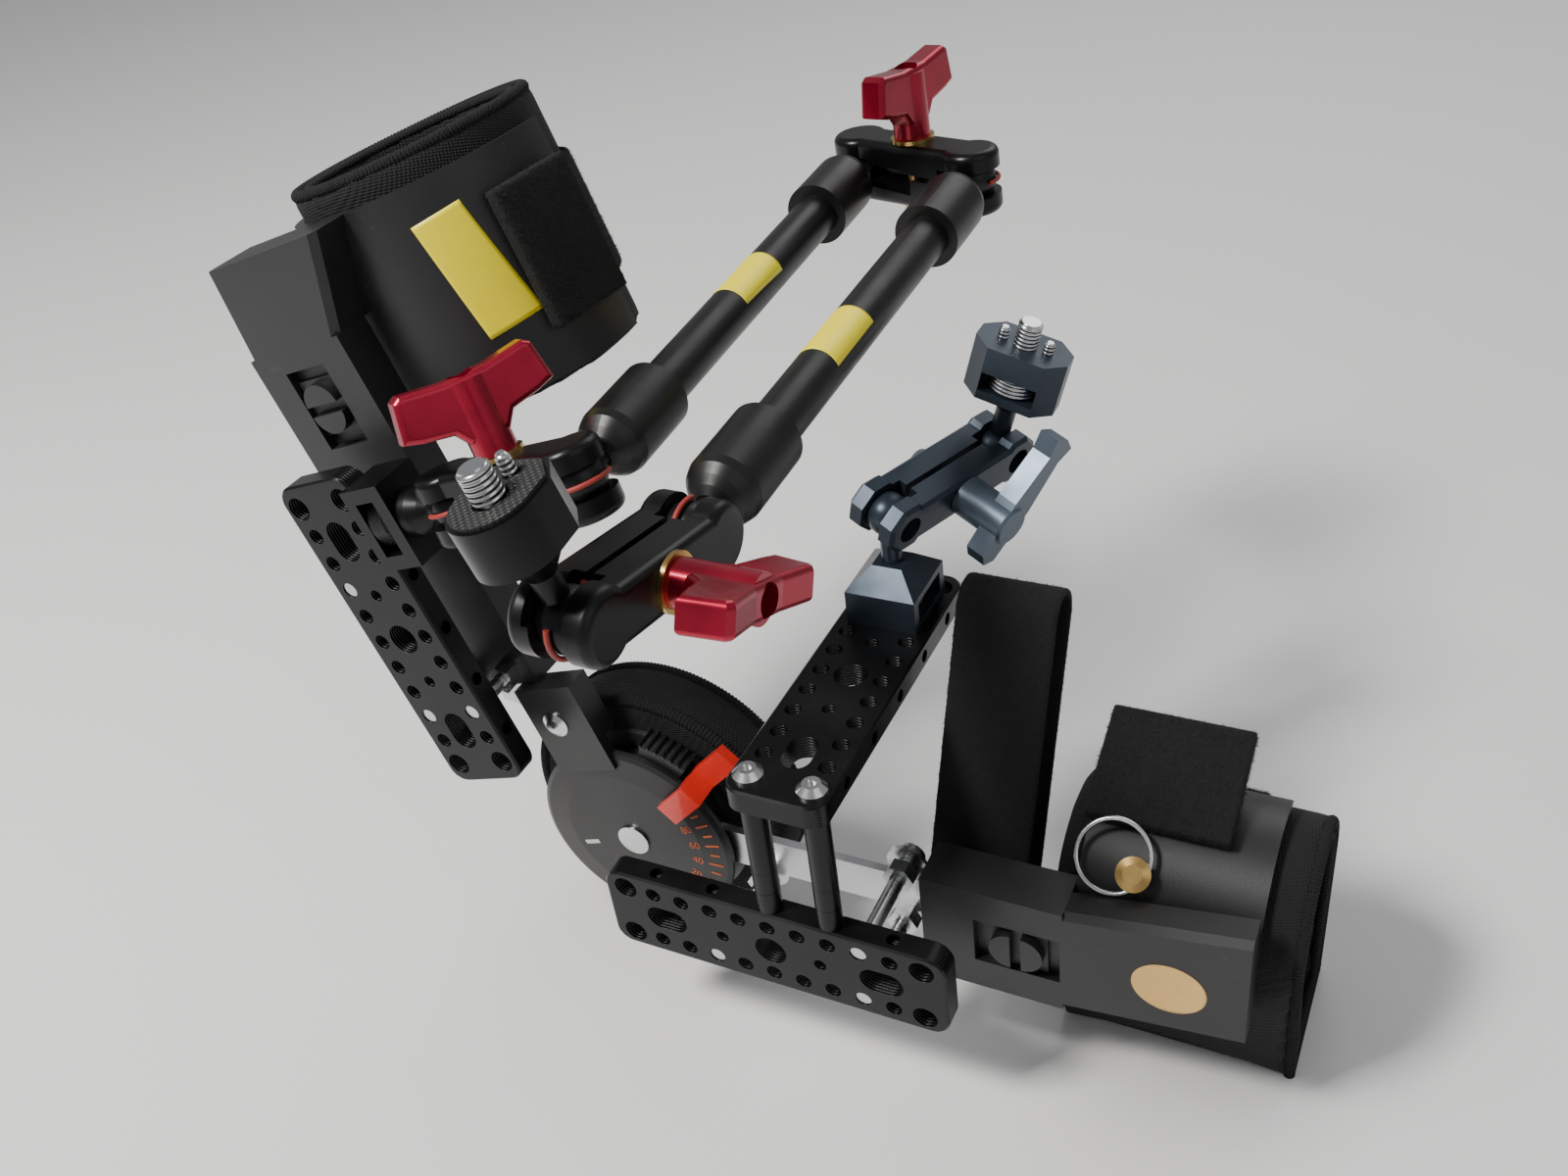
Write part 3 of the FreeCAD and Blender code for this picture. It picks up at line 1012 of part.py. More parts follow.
small_window = block("small_base_window", (-(s.wheel_dia / 2 + s.wheel_gap), -40, 3 - s.wheel_gap),
                     (s.wheel_dia / 2 + s.wheel_gap, 40, 3 + s.wheel_thick + s.wheel_gap))
small_base_bore = rod("small_base_bore", (0, 0, -1), s.head_screw / 2 + 0.05, 5)
publish("small_base", cut("small_base", fuse("small_base_joined", small_block, small_taper, small_base_neck,
                                             small_base_ball), small_window, small_base_bore), SMALL_BASE)
small_wheel = turned("small_thumbwheel", (
    (0, -(s.plate_thick - 1.5)), (s.head_screw / 2, -(s.plate_thick - 1.5)), (s.head_screw / 2, 3),
    (s.wheel_dia / 2 - 0.8, 3), (s.wheel_dia / 2, 3.8), (s.wheel_dia / 2, 3 + s.wheel_thick - 0.8),
    (s.wheel_dia / 2 - 0.8, 3 + s.wheel_thick), (0, 3 + s.wheel_thick)))
publish("small_thumbwheel", small_wheel, SMALL_BASE)

SMALL_LOW = SMALL_BASE.multVec(Vector(0, 0, float(s.small_ball_rise)))
SMALL_HIGH = SMALL_LOW + direction(0.369, 0.929, 0.0) * float(s.small_pitch)
SMALL_AXIS = direction(0.278, 0.0, 0.961)
SMALL_CLAMP = bone_frame(SMALL_LOW, SMALL_HIGH, Vector(0.905, -0.36, -0.25))
small_clamp_axis = SMALL_CLAMP.Rotation.multVec(UP)
small_fans = [stem_fan(ball, stem, small_clamp_axis, 60, small_neck + 0.6)
              for ball, stem in ((SMALL_LOW, Vector(0, 0, -1)), (SMALL_HIGH, SMALL_AXIS))]
clamp_jaws("small", SMALL_CLAMP, s.small_pitch,
           (float(s.small_jaw_end), 8.0, float(s.jaw_gap), float(s.small_relief), float(s.small_jaw_half),
            small_radius + float(s.socket_gap), 3.15, True), small_fans)

# clamp lever: hub on the clamp screw and a bar across its outer end
lever_dir = direction(0.42, 0.55, 0.72)
LEVER = frame(SMALL_CLAMP.Base, lever_dir, small_clamp_axis)
hub_low, hub_high = s.small_jaw_half + 0.3, s.small_jaw_half + s.small_hub_length
hub = turned("lever_hub", (
    (0, -(s.small_jaw_half + 2.5)), (5.0, -(s.small_jaw_half + 2.5)), (6.0, -(s.small_jaw_half + 0.3)),
    (3.0, -(s.small_jaw_half + 0.3)), (3.0, hub_low), (s.small_hub / 2, hub_low), (s.small_hub / 2, hub_high - 1),
    (s.small_hub / 2 - 1, hub_high), (0, hub_high)))
lever_bar = extruded("lever_bar", (
    (-(s.lever_length * 0.28), -5), (-(s.lever_length * 0.28) - 3, 0), (-(s.lever_length * 0.28), 5), (8, 6.5),
    (s.lever_length * 0.72 - 9, 4.2), (s.lever_length * 0.72 - 2, 7), (s.lever_length * 0.72, 0),
    (s.lever_length * 0.72 - 2, -7), (s.lever_length * 0.72 - 9, -4.2), (8, -6.5)), 8)
lever_bar.Placement = at(0, 0, hub_high - 9)
publish("small_lever", fuse("small_lever", hub, lever_bar), LEVER)

# short arm's head: octagonal block with a window, a screw with its own wheel, two sprung pins
SMALL_HEAD = frame(SMALL_HIGH, Vector(1, 0, 0), SMALL_AXIS)
head_base = s.small_head_top - s.small_head_rise
width = s.small_head_width / 2
small_block_head = extruded("small_head_block", (
    (width - 7, -11), (width, -4), (width, 4), (width - 7, 11), (-(width - 7), 11), (-width, 4), (-width, -4),
    (-(width - 7), -11)), s.small_head_rise)
small_block_head.Placement = at(0, 0, head_base)
small_head_cone = primitive("Cone", "small_head_cone", (0, 0, head_base - 6), Radius1=s.small_neck / 2, Radius2=10,
                            Height=6)
small_head_neck = rod("small_head_neck", (0, 0, 0), s.small_neck / 2, head_base)
small_head_ball = primitive("Sphere", "small_head_ball", (0, 0, 0), Radius=s.small_ball / 2)
head_wheel_low, head_wheel_thick, head_wheel = head_base + 4, 7.0, 10.4
head_window = block("small_head_window", (-(head_wheel + s.wheel_gap), -40, head_wheel_low - s.wheel_gap),
                    (head_wheel + s.wheel_gap, 40, head_wheel_low + head_wheel_thick + s.wheel_gap))
head_screw_bore = rod("small_head_bore", (0, 0, head_wheel_low), s.screw_neck + 0.05, 40)
pin_bores = [rod(f"small_pin_bore_{k}", (s.small_pin_offset * side, 0, s.small_head_top - 6), s.small_pin / 2 + 0.06, 20)
             for k, side in enumerate((1, -1))]
publish("small_head", cut("small_head", fuse("small_head_joined", small_block_head, small_head_cone,
                                             small_head_neck, small_head_ball),
                          head_window, head_screw_bore, *pin_bores), SMALL_HEAD)
small_top = s.small_head_top
small_screw = turned("small_head_screw", (
    (0, head_wheel_low), (head_wheel - 0.8, head_wheel_low), (head_wheel, head_wheel_low + 0.8),
    (head_wheel, head_wheel_low + head_wheel_thick - 0.8), (head_wheel - 0.8, head_wheel_low + head_wheel_thick),
    (s.screw_neck, head_wheel_low + head_wheel_thick), (s.screw_neck, small_top),
    (s.head_screw / 2, small_top), (s.head_screw / 2, small_top + s.screw_rise - 1),
    (s.head_screw / 2 - 1, small_top + s.screw_rise), (0, small_top + s.screw_rise)))
publish("small_head_screw", small_screw, SMALL_HEAD)
pin = turned("small_pin_master", (
    (0, small_top - 3), (s.small_pin / 2, small_top - 3), (s.small_pin / 2, small_top + 3.5),
    (s.small_pin / 2 - 0.8, small_top + 4.6), (0, small_top + 4.6)))
pin_places = [SMALL_HEAD.multiply(at(s.small_pin_offset * side, 0, 0)) for side in (1, -1)]
publish("anti_twist_pins", group("anti_twist_pins", (pin, pin_places)))


# ---------------------------------------------------------------- finish

def check_and_place():
    """Stop on any failed feature, then move the origin to the middle of the rig's underside."""
    doc.recompute()
    failed = [item.Label for item in doc.Objects if {"Invalid", "Error"} & set(item.State)]
    if failed:
        raise RuntimeError("failed features: " + ", ".join(failed))
    bounds = FreeCAD.BoundBox()
    for item in subparts:
        if item.Shape.isNull() or not item.Shape.isValid():
            raise RuntimeError("bad shape: " + item.Label)
        bounds.add(item.Shape.optimalBoundingBox(False, False))
    shift = Vector(-bounds.Center.x, -bounds.Center.y, -bounds.ZMin)
    for item in subparts:
        item.Placement = Placement(shift, FreeCAD.Rotation()).multiply(item.Placement)
    doc.recompute()
    return shift, bounds


SHIFT, BOUNDS = check_and_place()
os.makedirs("parts", exist_ok=True)
for item in subparts:
    item.Shape.exportStep(f"parts/{item.Label}.step")
print(len(subparts), "pieces,", f"{BOUNDS.XLength:.1f} x {BOUNDS.YLength:.1f} x {BOUNDS.ZLength:.1f} mm")
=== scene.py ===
# %% [markdown]
# This lesson finishes an arm-worn camera support rig: two padded cuffs joined by a locking hinge, three drilled
# plates and two ball-jointed arms. The metal and moulded pieces come from the CAD model as they are. They could be
# remodelled here, but their sizes matter, so this script only gives them finishes and adds the soft goods and
# small surface details.

# %% Load the fixed frame
import json
import math
import random
import bpy
import bmesh
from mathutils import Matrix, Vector
from mathutils.bvhtree import BVHTree


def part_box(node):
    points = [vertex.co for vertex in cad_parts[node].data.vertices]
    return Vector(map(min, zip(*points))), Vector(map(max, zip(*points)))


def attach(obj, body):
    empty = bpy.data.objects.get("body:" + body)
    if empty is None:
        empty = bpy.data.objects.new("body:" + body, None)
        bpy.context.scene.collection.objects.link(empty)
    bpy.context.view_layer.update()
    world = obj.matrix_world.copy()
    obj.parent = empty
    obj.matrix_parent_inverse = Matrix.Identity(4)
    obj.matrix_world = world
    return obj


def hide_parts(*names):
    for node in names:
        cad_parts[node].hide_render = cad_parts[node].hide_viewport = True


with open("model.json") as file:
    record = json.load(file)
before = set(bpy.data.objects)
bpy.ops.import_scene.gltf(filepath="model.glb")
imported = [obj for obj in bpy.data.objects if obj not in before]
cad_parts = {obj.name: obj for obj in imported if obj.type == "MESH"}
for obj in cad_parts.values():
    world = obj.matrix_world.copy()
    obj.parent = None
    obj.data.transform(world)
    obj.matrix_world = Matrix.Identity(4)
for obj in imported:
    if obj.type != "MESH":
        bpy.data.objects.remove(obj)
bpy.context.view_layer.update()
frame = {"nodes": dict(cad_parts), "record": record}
nodes = frame["nodes"]
joints = {joint["name"]: joint for joint in frame["record"]["behaviour"]["joints"]}
mounts = {mount["name"]: mount for mount in frame["record"]["mounts"]}
elbow = Vector(joints["elbow"]["pos_m"])
upper_along = Vector(joints["upper_reach"]["axis"])
upper_side = Vector((upper_along.z, 0, -upper_along.x))
MM = 0.001
CLOTH_STEPS = 20
STRAP_THICK = 2.6 * MM
SCREW_PITCH = 1.59 * MM
PLATE_PITCH = 1.27 * MM
print("nodes", len(nodes), "elbow", tuple(round(value, 4) for value in elbow))

# %% [markdown]
# Finishes vary over a surface: scuffs, weave, threads, grain. Each could be drawn by hand as a node tree, but a long
# tree is hard to read. One small class wraps a socket, so that the maths reads as ordinary expressions, and one
# method adds any other kind of node.

# %% A socket that can be used in expressions
class Wire:
    def __init__(self, tree, socket):
        self.tree = tree
        self.socket = socket

    def node(self, kind, settings=None, sockets=None, out=0):
        made = self.tree.nodes.new(kind)
        for key, value in (settings or {}).items():
            if key == "stops":
                while len(made.color_ramp.elements) < len(value):
                    made.color_ramp.elements.new(0.5)
                for element, (position, colour) in zip(made.color_ramp.elements, value):
                    element.position = position
                    element.color = (*colour, 1)
            else:
                setattr(made, key, value)
        for key, value in (sockets or {}).items():
            if isinstance(value, Wire):
                self.tree.links.new(value.socket, made.inputs[key])
            else:
                made.inputs[key].default_value = value
        return Wire(self.tree, made.outputs[out])

    def maths(self, operation, left, right=0.0):
        return self.node("ShaderNodeMath", {"operation": operation}, {0: left, 1: right})

    def __add__(self, other):
        return self.maths("ADD", self, other)

    def __radd__(self, other):
        return self.maths("ADD", other, self)

    def __sub__(self, other):
        return self.maths("SUBTRACT", self, other)

    def __rsub__(self, other):
        return self.maths("SUBTRACT", other, self)

    def __mul__(self, other):
        return self.maths("MULTIPLY", self, other)

    def __rmul__(self, other):
        return self.maths("MULTIPLY", other, self)

    def __lt__(self, other):
        return self.maths("LESS_THAN", self, other)

    def size(self):
        return self.maths("ABSOLUTE", self)

    def wave(self):
        return self.maths("SINE", self)

    def along(self, direction, origin=(0, 0, 0)):
        moved = self.node("ShaderNodeVectorMath", {"operation": "SUBTRACT"}, {0: self, 1: tuple(origin)})
        return self.node("ShaderNodeVectorMath", {"operation": "DOT_PRODUCT"},
                         {0: moved, 1: tuple(direction)}, out="Value")

    def noise(self, scale, detail=3.0, rough=0.55):
        return self.node("ShaderNodeTexNoise", None,
                         {"Vector": self, "Scale": scale, "Detail": detail, "Roughness": rough})

    def between(self, low, high):
        """0 below low, 1 above high."""
        return self.node("ShaderNodeMapRange", None,
                         {"Value": self, "From Min": low, "From Max": high})

    def tint(self, low, high):
        """A colour between two, by this value."""
        return self.node("ShaderNodeMix", {"data_type": "RGBA"},
                         {"Factor": self, 6: (*low, 1), 7: (*high, 1)}, out=2)

    def bump(self, depth, strength=1.0):
        return self.node("ShaderNodeBump", None, {"Strength": strength, "Distance": depth, "Height": self})


def finish(name, paint, metallic=0.0, **constants):
    """A material: paint gets the place in the piece and returns what varies over the surface."""
    material = bpy.data.materials.new(name)
    material.use_nodes = True
    tree = material.node_tree
    shader = tree.nodes["Principled BSDF"]
    shader.inputs["Metallic"].default_value = metallic
    for key, value in constants.items():
        shader.inputs[key.replace("_", " ")].default_value = value
    place = Wire(tree, tree.nodes.new("ShaderNodeTexCoord").outputs["Object"])
    for key, value in paint(place).items():
        tree.links.new(value.socket, shader.inputs[key])
    return material


print("shader helpers ready")

# %% [markdown]
# The anodised pieces are dark and satin, with a fine grain and slightly lighter handled patches. A flat black would
# look like paper. Two noises of different size vary the colour and the roughness.

# %% Anodised and plated finishes
def satin(low, high, rough, grain=900.0, height=None, depth=0.00002):
    def paint(place):
        handled = place.noise(35.0, 4.0).between(0.4, 0.72)
        speckle = place.noise(grain * 4, 2.0)
        relief = speckle * 0.2
        if height is not None:
            relief = relief + height(place)
        return {"Base Color": (handled * 0.7 + speckle * 0.3).tint(low, high),
                "Roughness": handled * 0.12 + speckle * 0.06 + rough,
                "Normal": relief.bump(depth)}
    return paint


BLACK, BLACK_WORN = (0.005, 0.005, 0.006), (0.013, 0.013, 0.014)
black_metal = finish("black_anodised", satin(BLACK, BLACK_WORN, 0.26), 0.55)
tube_black = finish("tube_satin", satin((0.006, 0.006, 0.006), (0.012, 0.012, 0.012), 0.33), 0.3)
zinc = finish("zinc_steel", satin((0.52, 0.53, 0.54), (0.74, 0.74, 0.73), 0.20), 1.0)
bar_metal = finish("brace_bar", satin((0.55, 0.56, 0.58), (0.74, 0.74, 0.76), 0.25), 1.0)
grey_metal = finish("hinge_steel", satin((0.10, 0.10, 0.11), (0.16, 0.16, 0.17), 0.35), 0.8)
red_metal = finish("red_anodised", satin((0.28, 0.004, 0.022), (0.46, 0.012, 0.045), 0.24), 0.75,
                   Coat_Weight=0.3)
red_plastic = finish("red_plastic", satin((0.62, 0.020, 0.012), (0.78, 0.040, 0.022), 0.22), 0.0,
                     Coat_Weight=0.5)
blue_grey = finish("blue_grey", satin((0.022, 0.032, 0.046), (0.040, 0.054, 0.072), 0.30), 0.6)
blue_light = finish("blue_grey_light", satin((0.085, 0.115, 0.150), (0.13, 0.165, 0.205), 0.33), 0.6)
brass = finish("brass_fitting", satin((0.55, 0.34, 0.10), (0.78, 0.54, 0.22), 0.20), 1.0)
seal_red = finish("seal_rubber", satin((0.26, 0.022, 0.016), (0.40, 0.040, 0.028), 0.5), 0.0)
print("metal finishes ready")

# %% [markdown]
# Threads are cut in the plates' holes and on the screws. Real helices would add many thousands of faces, so the
# thread is a ripple in the surface normal along the hole's axis. On a flat face that ripple has no slope, so it
# shows only on the walls of the holes. A mask keeps it off the plate's outer sides.

# %% Threaded finishes
def thread(axis, pitch, origin=(0, 0, 0), room=None):
    def height(place):
        ripple = (place.along(axis, origin) * (2 * math.pi / pitch)).wave()
        if room is None:
            return ripple * 4.0
        inside = (place.along(room[0], origin).size() < room[1]) * (place.along(room[2], origin).size() < room[3])
        return ripple * inside * 6.0
    return height


def middle(node):
    low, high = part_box(node)
    return (low + high) / 2


plates = {
    "forearm_plate": (Vector((0, 1, 0)), Vector((1, 0, 0)), Vector((0, 0, 1))),
    "top_plate": (Vector((0, 0, 1)), Vector((0, 1, 0)), Vector((1, 0, 0))),
    "upper_arm_plate": (Vector((0, 1, 0)), upper_along, upper_side),
}
for name, (across, length_way, width_way) in plates.items():
    cut_thread = thread(across, PLATE_PITCH, middle(name), (length_way, 67.6 * MM, width_way, 17.6 * MM))
    plates[name] = finish(name + "_black", satin(BLACK, BLACK_WORN, 0.24, 900.0, cut_thread, 0.00004), 0.55)


def screw_finish(name, axis, pitch):
    return finish(name, satin((0.60, 0.60, 0.61), (0.80, 0.80, 0.80), 0.18, 900.0, thread(axis, pitch), 0.00004), 1.0)


head_axis = Vector(mounts["arm_head_screw"]["axis"])
small_axis = Vector(mounts["small_head_screw"]["axis"])
head_steel = screw_finish("head_screw_steel", head_axis, SCREW_PITCH)
small_steel = screw_finish("small_screw_steel", small_axis, SCREW_PITCH)
polished = finish("polished_steel", satin((0.62, 0.62, 0.63), (0.80, 0.80, 0.80), 0.16), 1.0)
print("threads on", ", ".join(plates))

# %% [markdown]
# The head's rubber pad has a raised cross grid, and the thumbwheels are knurled. Both are regular patterns, made as
# crossed ripples instead of many tiny solids.

# %% Grid rubber and knurling
def crossed(first, second, step):
    def height(place):
        one = (place.along(first) * (2 * math.pi / step)).wave().size()
        two = (place.along(second) * (2 * math.pi / step)).wave().size()
        return one * two * 5.0
    return height


head_side = Vector((1, 0, 0)).cross(head_axis).normalized()
head_front = head_axis.cross(head_side).normalized()
grid = crossed((head_side + head_front).normalized(), (head_side - head_front).normalized(), 3.4 * MM)
pad_rubber = finish("pad_rubber", satin((0.010, 0.010, 0.010), (0.020, 0.020, 0.020), 0.55, 900.0, grid, 0.0001))
knurl = finish("knurled", satin(BLACK, (0.05, 0.05, 0.05), 0.28, 900.0,
                                crossed((1, 0.7, 0.6), (-0.6, 0.7, 1), 1.4 * MM), 0.00012), 0.7)
small_knurl = finish("small_knurled", satin((0.30, 0.31, 0.33), (0.45, 0.46, 0.48), 0.28, 900.0,
                                            crossed((1, 1, 0.9), (-1, 1, 0.9), 1.2 * MM), 0.0001), 1.0)
print("grid step 3.4 mm")

# %% [markdown]
# The cuff shells are moulded plastic: matt, faintly grained, with pale scuffs where they have been knocked.

# %% Moulded plastic
def moulded(low, high, scuff, rough):
    def paint(place):
        grain = place.noise(2600.0, 2.0)
        scratches = place.node("ShaderNodeTexNoise", None, {
            "Vector": place.node("ShaderNodeMapping", None, {"Vector": place, "Scale": (1.0, 6.0, 2.0),
                                                            "Rotation": (0.4, 0.2, 0.7)}),
            "Scale": 120.0, "Detail": 5.0})
        worn = scratches.between(0.64, 0.74) * place.noise(28.0, 2.0).between(0.5, 0.62)
        return {"Base Color": (grain * 0.4 + worn * scuff).tint(low, high),
                "Roughness": rough + worn * 0.12 - place.noise(22.0).between(0.4, 0.8) * 0.08,
                "Normal": grain.bump(0.00006)}
    return paint


cuff_plastic = finish("cuff_black", moulded((0.007, 0.007, 0.008), (0.032, 0.032, 0.034), 1.0, 0.44))
hinge_plastic = finish("hinge_black", moulded((0.007, 0.007, 0.008), (0.022, 0.022, 0.024), 0.4, 0.36))
print("moulded finishes ready")

# %% [markdown]
# The soft goods are knitted foam lining, ribbed edge binding and fuzzy strap. The knit is a fine crossed ripple with
# cloudy dust, and the strap's pile is a coarse noise under real hairs that are added later.

# %% Fabrics
def knitted(step, dust):
    def paint(place):
        one = (place.along((1, 0.2, 0.3)) * (2 * math.pi / step)).wave()
        two = (place.along((-0.3, 0.4, 1)) * (2 * math.pi / step)).wave()
        three = (place.along((0.2, 1, -0.3)) * (2 * math.pi / step)).wave()
        weave = (one + two + three) * 0.33
        cloud = place.noise(40.0).between(0.45, 0.8)
        return {"Base Color": (cloud * dust + weave.between(0.2, 1.0) * 0.3).tint((0.003, 0.003, 0.0035),
                                                                                 (0.014, 0.014, 0.016)),
                "Roughness": cloud * 0.05 + 0.88,
                "Normal": (weave + place.noise(900.0) * 0.5).bump(0.00025)}
    return paint


def fuzzy(place):
    tuft = place.noise(700.0, 4.0, 0.7)
    patch = place.noise(90.0, 2.0)
    return {"Base Color": (tuft * 0.5 + patch * 0.3).tint((0.001, 0.001, 0.0012), (0.008, 0.008, 0.008)),
            "Roughness": tuft * 0.05 + 0.92,
            "Normal": (tuft + patch * 0.6).bump(0.0011)}


knit = finish("liner_fabric", knitted(1.1 * MM, 0.5))
binding_cloth = finish("binding_fabric", knitted(0.7 * MM, 0.3))
pile = finish("pile_fabric", fuzzy)
hair_finish = finish("pile_hair", lambda place: {
    "Base Color": place.noise(500.0).tint((0.002, 0.002, 0.002), (0.018, 0.017, 0.017)),
    "Roughness": place.noise(300.0) * 0.1 + 0.8})
print("fabrics ready")

# %% [markdown]
# Every CAD piece takes the finish that its record slot names, with a few set apart, such as the threaded plates.

# %% Dress the CAD pieces
by_slot = {
    "black_anodised": black_metal, "zinc_steel": zinc, "polished_steel": polished, "brace_bar": bar_metal,
    "hinge_black": hinge_plastic, "hinge_steel": grey_metal, "cuff_black": cuff_plastic, "liner_fabric": knit,
    "pile_fabric": pile, "red_anodised": red_metal, "red_plastic": red_plastic, "seal_rubber": seal_red,
    "pad_rubber": pad_rubber, "brass_fitting": brass, "blue_grey": blue_grey,
}
special = dict(plates, head_screw=head_steel, small_head_screw=small_steel, anti_twist_pins=small_steel,
               base_thumbwheel=knurl, small_thumbwheel=small_knurl, small_lever=blue_light,
               rear_tube=tube_black, front_tube=tube_black, rear_tube_ends=tube_black, front_tube_ends=tube_black)
for part in frame["record"]["subparts"]:
    chosen = special.get(part["node"], by_slot[part["material_slot"]])
    for holder in nodes[part["node"]].material_slots:
        holder.link = "OBJECT"
        holder.material = chosen

# %% [markdown]
# Soft pieces start from their plain CAD solids. Each is remeshed into even small faces and inflated a little as
# cloth, which rounds its edges and gives it the uneven swell of foam. How far a point may move is capped, so the
# piece keeps its place against the shell.

# %% From solid to cloth
def settled(thing):
    """The mesh of an object with its modifiers applied."""
    bpy.context.view_layer.update()
    seen = thing.evaluated_get(bpy.context.evaluated_depsgraph_get())
    return bpy.data.meshes.new_from_object(seen)


def swap_mesh(thing, mesh):
    thing.modifiers.clear()
    thing.data = mesh


def soften(name, node, body, material, voxel, pressure, cap, smooth=4):
    thing = bpy.data.objects.new(name, nodes[node].data.copy())
    bpy.context.scene.collection.objects.link(thing)
    thing.matrix_world = nodes[node].matrix_world.copy()
    remesh = thing.modifiers.new("even", "REMESH")
    remesh.mode = "VOXEL"
    remesh.voxel_size = voxel
    ease = thing.modifiers.new("ease", "SMOOTH")
    ease.iterations = smooth
    swap_mesh(thing, settled(thing))
    start = [vertex.co.copy() for vertex in thing.data.vertices]
    cloth = thing.modifiers.new("swell", "CLOTH")
    cloth.settings.use_pressure = True
    cloth.settings.uniform_pressure_force = pressure
    cloth.settings.effector_weights.gravity = 0
    cloth.settings.tension_stiffness = 25
    cloth.settings.compression_stiffness = 25
    for step in range(1, CLOTH_STEPS + 1):
        bpy.context.scene.frame_set(step)
    swap_mesh(thing, settled(thing))
    bpy.context.scene.frame_set(1)
    for vertex, home in zip(thing.data.vertices, start):
        move = vertex.co - home
        if move.length > cap:
            vertex.co = home + move.normalized() * cap
    for vertex in thing.data.vertices:
        vertex.co.z = max(vertex.co.z, 0.0)
    thing.data.materials.clear()
    thing.data.materials.append(material)
    for face in thing.data.polygons:
        face.use_smooth = True
    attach(thing, body)
    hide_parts(node)
    print(name, len(thing.data.vertices), "points")
    return thing


upper_foam = soften("upper_lining", "upper_cuff_liner", "upper_cuff", knit, 2.2 * MM, 3, 0.9 * MM)
fore_foam = soften("forearm_lining", "forearm_cuff_liner", "forearm_cuff", knit,
                   2.2 * MM, 3, 0.9 * MM)
elbow_pad = soften("elbow_pad", "hinge_pad", "forearm", knit, 3.0 * MM, 4, 2.2 * MM, 10)

# %% [markdown]
# The straps are 2.6 mm hook-and-loop webbing. They bend and curl but don't swell, so they get a fine remesh and a
# little pressure. Each one's length, which is printed, is its volume over its thickness and width.

# %% Straps
def volume_of(mesh):
    solid = bmesh.new()
    solid.from_mesh(mesh)
    amount = abs(solid.calc_volume())
    solid.free()
    return amount


def strap(name, node, body, width):
    thing = soften(name, node, body, pile, 1.1 * MM, 0.2, 0.25 * MM, 2)
    length = volume_of(thing.data) / (STRAP_THICK * width)
    print(name, "is", round(width / MM), "by", round(length / MM), "mm")
    return thing


upper_strap = strap("upper_strap", "upper_cuff_strap", "upper_cuff", 50 * MM)
fore_strap = strap("forearm_strap", "forearm_cuff_strap", "forearm_cuff", 50 * MM)
loop = strap("loop_webbing", "loop_strap", "forearm_cuff", 38 * MM)

# %% [markdown]
# The straps' pile stands up as short hairs and frays at the cut ends. A hair system would be lost in the export, so
# each hair is a thin three-sided spike in one mesh.

# %% Pile
def hairs(name, host, body, count, length, seed):
    rng = random.Random(seed)
    mesh = host.data
    faces = list(mesh.polygons)
    weights = [face.area for face in faces]
    points, triangles = [], []
    for face in rng.choices(faces, weights, k=count):
        corner = rng.choice(list(face.vertices))
        root = face.center.lerp(mesh.vertices[corner].co, rng.random())
        lean = Vector((rng.gauss(0, 1), rng.gauss(0, 1), rng.gauss(0, 1))) * 0.45
        way = (face.normal + lean).normalized()
        side = way.orthogonal().normalized() * 0.09 * MM
        reach = length * rng.uniform(0.4, 1.2)
        base = len(points)
        points += [root - way * 0.2 * MM + side, root - way * 0.2 * MM - side, root + way * reach]
        triangles.append((base, base + 1, base + 2))
    made = bpy.data.meshes.new(name)
    made.from_pydata(points, [], triangles)
    made.materials.append(hair_finish)
    thing = bpy.data.objects.new(name, made)
    bpy.context.scene.collection.objects.link(thing)
    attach(thing, body)
    print(name, count, "hairs")
    return thing


hairs("upper_pile", upper_strap, "upper_cuff", 16000, 1.3 * MM, 1)
hairs("forearm_pile", fore_strap, "forearm_cuff", 15000, 1.3 * MM, 2)
hairs("loop_pile", loop, "forearm_cuff", 14000, 1.1 * MM, 3)

# %% [markdown]
# Edge binding is ribbed elastic folded over a raw edge. Its path is read from the CAD liner's own rim, and a
# half-round section with fine ribs is swept along it.

# %% Read a rim and sweep a ribbed band
def rim_loops(node, direction):
    """Closed lines round the flat end of a CAD piece, longest first."""
    mesh = nodes[node].data
    direction = Vector(direction).normalized()
    top = max(vertex.co.dot(direction) for vertex in mesh.vertices)
    uses, place = {}, {}
    for face in mesh.polygons:
        if face.normal.dot(direction) > 0.9 and top - face.center.dot(direction) < 0.3 * MM:
            keys = []
            for index in face.vertices:
                spot = mesh.vertices[index].co
                key = tuple(round(value * 20000) for value in spot)
                place[key] = spot.copy()
                keys.append(key)
            for one, two in zip(keys, keys[1:] + keys[:1]):
                edge = frozenset((one, two))
                uses[edge] = uses.get(edge, 0) + 1
    beside = {}
    for edge, count in uses.items():
        if count == 1 and len(edge) == 2:
            one, two = edge
            beside.setdefault(one, []).append(two)
            beside.setdefault(two, []).append(one)
    loops, seen = [], set()
    for first in beside:
        if first in seen:
            continue
        line, here = [], first
        while here is not None:
            seen.add(here)
            line.append(place[here])
            here = next((other for other in beside[here] if other not in seen), None)
        loops.append(line)
    loops.sort(key=lambda line: -sum((a - b).length for a, b in zip(line, line[1:] + line[:1])))
    return loops


